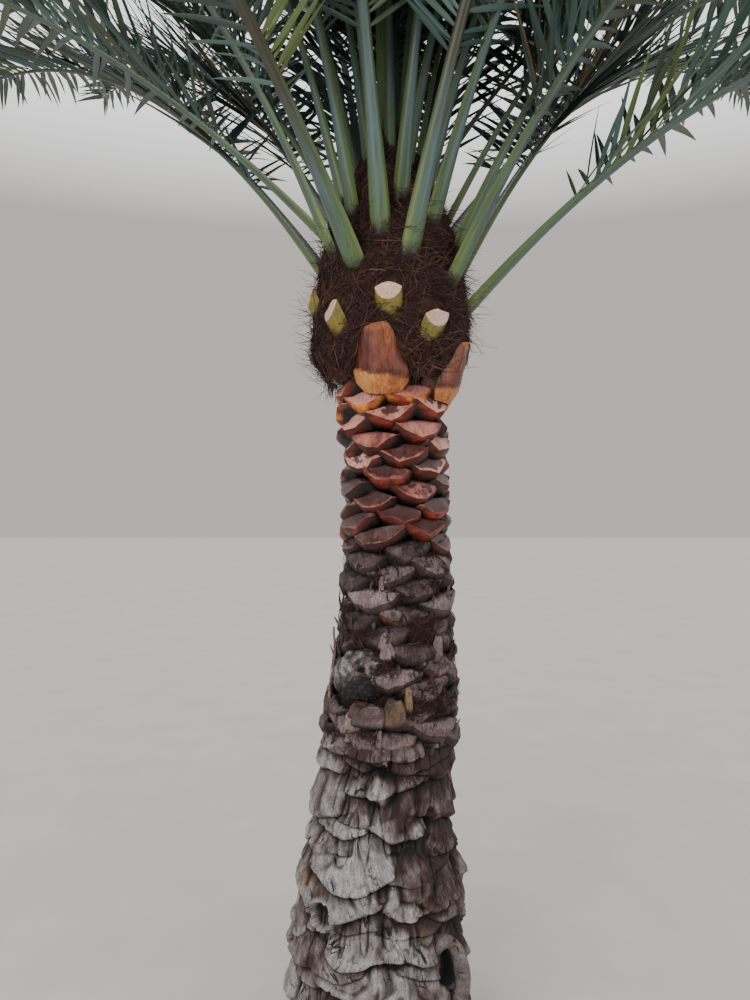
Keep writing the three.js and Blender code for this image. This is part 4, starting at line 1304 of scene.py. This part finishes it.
def add_long_base(heap, n):
    """A long leaf base: broad foot trimmed on a slant, sides drawn in, top cut square."""
    foot = CUT_HEIGHT + RISE * n - BASE_DROP
    top = BASE_HEIGHT - jitter(n, 7, 12)
    v = np.linspace(0, 1, 24)[:, None]
    u = np.linspace(-1, 1, 25)[None]
    half = np.interp(v, [0, 0.16, 0.34, 0.6, 0.92, 1], [52, 74, 78, 59, 41, 30])
    half = half * (1 + 0.03 * np.sin(9 * v + n))
    out = np.interp(v, [0, 0.2, 0.3, 0.7, 1], [176, 198, 206, 226, 240])
    bevel = np.interp(np.abs(u), [0, 0.42, 0.75, 1], [0, 0.07, 0.42, 1])
    y = out - bevel * (half ** 2 / 300 + 20 * (1 - v * 0.6))
    z = foot + top * v - 10 * (1 - v) * (1 - u ** 2) + 6 * v * u
    points = from_local(leaf_azimuth(n), half * u, y, z)
    outward = outward_at(leaf_azimuth(n))
    push = 1.6 * lumps(points * (1, 1, 0.1), 9, 10) + 1.5 * lumps(points, 40, 11)
    points = points + outward * push[..., None]
    # One side of each base, mirrored at random from base to base, is painted lighter and the other
    # darker: painted light and shade on its facets.
    lit = u * np.sign(jitter(n, 56, 1))
    slanted = v - 0.09 * lit + 0.03 * lumps(points, 24, 13)
    trimmed = smooth(0.3, 0.27, slanted)
    burr = np.exp(-((slanted - 0.32) / 0.035) ** 2)
    skin = 0.04 + 0.08 * v + 0.1 * smooth(-0.3, -0.7, lit) - 0.12 * smooth(0.2, 0.5, lit)
    tone = mix(skin, 0.45 + 0.16 * smooth(0, 0.7, lit), trimmed) - 0.2 * burr
    tone = mix(tone, 0.36, smooth(0.87, 0.9, v - 0.05 * np.abs(u)))
    tone = tone + 0.1 * lumps(points * (1, 1, 0.3), 26, 12)
    # Painted shade in thin dark lines along the creases between the facets.
    tone = tone - 0.12 * np.exp(-((np.abs(u) - 0.42) / 0.04) ** 2) * (1 - trimmed)
    rows, columns = z.shape
    heap.add(points, grid_faces(rows, columns), tone=tone)
    for edge, depth, edge_tone in (
        (points[-1], 34, 0.1), (points[:, 0], 46, -0.2), (points[:, -1], 46, -0.2),
    ):
        wall = np.concatenate([edge, edge - outward * depth])
        heap.add(wall, grid_faces(2, len(edge)), tone=edge_tone)


# The offshoot's charred scar and the hollow stump

SCAR_ROWS, SCAR_COLUMNS = 110, 170
CRATER_ACROSS, CRATER_UP = 40, 36  # from the scar's middle to its crater


def scar_ball():
    """The scar: a cobbled ball half sunk in the trunk, with a small open crater near its top."""
    polar = np.linspace(0.02, np.pi - 0.02, SCAR_ROWS)[:, None]
    turn = np.arange(SCAR_COLUMNS) * 2 * np.pi / SCAR_COLUMNS
    x = 1.1 * SCAR_RADIUS * np.sin(polar) * np.cos(turn)
    y = 0.9 * SCAR_RADIUS * np.sin(polar) * np.sin(turn)
    z = 1.02 * SCAR_RADIUS * np.cos(polar) * np.ones_like(turn)
    shape = np.stack([x, y, z], -1)
    burnt = smooth(38, 0, z - 0.5 * (x - 45) + 14 * lumps(shape, 26, 15))
    lump = cobbles(shape + 4 * lumps(shape, 12, 13)[..., None], 13, 1)
    folds = lumps(shape * (1, 1, 0.4) + 0.4 * z[..., None], 14, 14)
    push = 6 * (lump - 0.6) * burnt + 4 * folds * (1 - burnt) + 4 * lumps(shape, 40, 38)
    crater = np.hypot((x - CRATER_ACROSS) / 15, (z - CRATER_UP) / 12) + (y < 0) * 9
    crater = crater + 0.2 * lumps(shape, 10, 39)
    push = push - 15 * smooth(1.0, 0.5, crater) + 4 * np.exp(-((crater - 1.15) / 0.2) ** 2)
    x, y, z = np.moveaxis(shape * (1 + push / SCAR_RADIUS)[..., None], -1, 0)
    middle = along_outline(TRUNK_OUTLINE, SCAR_HEIGHT) - SCAR_RADIUS + SCAR_PROUD
    points = from_local(SCAR_AZIMUTH, x, middle + y, SCAR_HEIGHT + z)
    rim = np.exp(-((crater - 1.1) / 0.3) ** 2)
    # Painted highlight: the burnt tone is lighter on top of each cobble. Painted shade: the deep
    # mark darkens between the cobbles and inside the crater.
    return Heap().add(
        points, grid_faces(SCAR_ROWS, SCAR_COLUMNS, closed=True),
        tone=mix(0.3 + 0.24 * folds, -0.3 + 0.4 * lump, burnt) + 0.12 * rim,
        red=0.5 * rim,
        deep=np.maximum(0.7 * smooth(0.35, 0, lump) * burnt, smooth(0.95, 0.5, crater)),
    )


def stump_rim():
    """The thick oval wall of a hollow stump, leaning out from the foot of the trunk."""
    steps, sides = 72, 18
    a = (np.arange(steps) * 2 * np.pi / steps)[:, None]
    b = (np.arange(sides) * 2 * np.pi / sides)[None]
    wall = STUMP_RIM * np.cos(b)
    across = (STUMP_HALF_WIDTH + wall) * np.cos(a)
    z = STUMP_HEIGHT + (STUMP_HALF_HEIGHT + wall) * np.sin(a)
    outward = STUMP_TILT * np.cos(a) + 1.5 * STUMP_RIM * np.sin(b) - STUMP_SUNK
    r = along_outline(TRUNK_OUTLINE, z) + outward
    points = around_stem(STUMP_AZIMUTH + np.degrees(across / r), z, r)
    r = r + 3 * lumps(points, 20, 16) + 1.2 * lumps(points * (1, 1, 0.3), 6, 17)
    points = around_stem(STUMP_AZIMUTH + np.degrees(across / r), z, r)
    faces = grid_faces(steps + 1, sides, closed=True) % (steps * sides)
    return Heap().add(points, faces, tone=0.17, yellow=0.25, deep=0, grain=points)


# The tree, piece by piece

# Each old finish as its name, tones, crack colour, colour of painted shade in the crevices, and
# roughness.
old_finishes = [
    old_wood(name, tones, crack, crevice_shade, roughness) for name, tones, crack, crevice_shade, roughness in (
        ("weathered_leaf_base",
         [(0.3, "#443535"), (0.52, "#6E5C5C"), (0.75, "#948482"), (1.0, "#B5A9A6")],
         "#1E1414", "#1C1414", 0.84),
        ("weathered_rind", [(0.3, "#2A1E1C"), (0.6, "#4A3935"), (0.95, "#6E5A54")],
         "#140E0C", "#140E0D", 0.8),
        ("orange_brown_rind", [(0.3, "#3A211A"), (0.6, "#6E4534"), (0.95, "#A6704C")],
         "#2A140C", "#1C120E", 0.6),
        ("chopped_yellow_wood", [(0.3, "#4A3830"), (0.55, "#7E6450"), (0.85, "#B29670")],
         "#241810", "#1A120D", 0.75),
    )
]
strand_finishes = [plain_fibre(name, code) for name, code in FIBRE_TONES]
leaflet_finishes = [leaflet_skin(name, code) for name, code, _ in LEAFLET_TONES]
frond_nodes = [f"frond_{n:02d}" for n in FRONDS]
fresh_bases, dry_bases = cladding()
ribs, leaflets = crown()

# Each piece's name, shape, finishes, slot and nodes, and from how many degrees its edges are sharp.
for piece in (
    ("fresh_pruned_bases", fresh_bases, [fresh_cut_wood(), fresh_rind()], "bark", ["trunk"], 22),
    ("weathered_pruned_bases", dry_bases, old_finishes, "bark", ["trunk"], 35),
    ("broken_wood", broken_wood(), old_finishes, "bark", ["trunk"], 30),
    ("worn_trunk_foot", worn_foot(), [bleached_wood()], "bark", ["trunk"], 40),
    ("trunk_core", trunk_core(), [torn_fibre("torn_fibre_in_gaps", "#150E0C", "#3C2C28")],
     "bark", ["trunk"], 40),
    ("charred_scar", scar_ball(), [charred_wood()], "bark", ["trunk"], 40),
    ("hollow_stump", stump_rim(), [bleached_wood()], "bark", ["trunk"], 40),
    ("fibre_bed", fibre_bed(), [torn_fibre("matted_palm_fibre", "#1E120D", "#4E2E1E", 9)],
     "fibre", ["crown_fibre"], 40),
    ("fibre_mat", strands(np.random.default_rng(5), MAT_ROWS, flat=True), strand_finishes,
     "fibre", ["crown_fibre"], 180),
    ("stray_fibre", strands(np.random.default_rng(6), STRAY_ROWS), strand_finishes,
     "fibre", ["crown_fibre"], 180),
    ("torn_trunk_fibre", trunk_fibre(np.random.default_rng(7)), strand_finishes,
     "fibre", ["trunk"], 180),
    ("cut_stalk_stubs", joined(add_stub, STUBS), [stub_cut(), stub_rind()],
     "stub", [f"cut_stub_{i + 1}" for i in range(len(STUBS))], 30),
    ("long_leaf_bases", joined(add_long_base, LONG_BASES), [long_base_rind()],
     "leaf_base", [f"long_leaf_base_{i + 1}" for i in range(len(LONG_BASES))], 40),
    ("frond_ribs", ribs, [waxy_stalk()], "frond", frond_nodes, 34),
    ("frond_leaflets", leaflets, leaflet_finishes, "frond", frond_nodes, 180),
    ("unopened_spears", joined(add_spear, SPEARS), [leaflet_skin("folded_young_leaf", "#5F7650")],
     "spear", ["spear_1", "spear_2"], 20),
):
    name, heap, *how = piece
    heap.make_piece(name, *how)

# Studio
FLOOR_REACH, FLOOR_LINES = 30000, 9
floor_mesh = bpy.data.meshes.new("floor")
floor_x, floor_y = np.meshgrid(*[np.linspace(-FLOOR_REACH, FLOOR_REACH, FLOOR_LINES)] * 2)
floor_points = np.stack([floor_x, floor_y, np.zeros_like(floor_x)], -1).reshape(-1, 3)
floor_faces = grid_faces(FLOOR_LINES, FLOOR_LINES).tolist()
floor_mesh.from_pydata((floor_points * MM).tolist(), [], floor_faces)
floor_mesh.materials.append(studio_floor())
floor = bpy.data.objects.new("floor", floor_mesh)
bpy.context.scene.collection.objects.link(floor)

world = bpy.data.worlds.new("soft_daylight")
world.use_nodes = True
up = add(world, "ShaderNodeSeparateXYZ", links={
    "Vector": add(world, "ShaderNodeTexCoord").outputs["Generated"],
}).outputs["Z"]
overhead = colours(world, [(0.33, "#A9A3A0"), (0.45, "#FFFFFF")], up)
backdrop = world.node_tree.nodes["Background"]
world.node_tree.links.new(overhead, backdrop.inputs["Color"])
backdrop.inputs["Strength"].default_value = 1.5
bpy.context.scene.world = world


def soft_box(name, place, aim, width, watts, code):
    light = bpy.data.lights.new(name, "AREA")
    light.shape = "RECTANGLE"
    light.size = width * MM
    light.size_y = width * 0.7 * MM
    light.energy = watts
    light.color = linear(code)[:3]
    lamp = bpy.data.objects.new(name, light)
    lamp.location = [v * MM for v in place]
    way = np.array(aim, float) - np.array(place, float)
    flat = math.hypot(way[0], way[1])
    lamp.rotation_euler = (math.atan2(flat, -way[2]), 0, math.atan2(-way[0], way[1]))
    bpy.context.scene.collection.objects.link(lamp)


soft_box("front_soft_box", (-2600, -4200, 3000), (0, 0, 1500), 3000, 130, "#FFFAF4")
soft_box("side_soft_box", (3800, -2600, 2600), (0, 0, 1500), 2400, 40, "#F4F8FF")
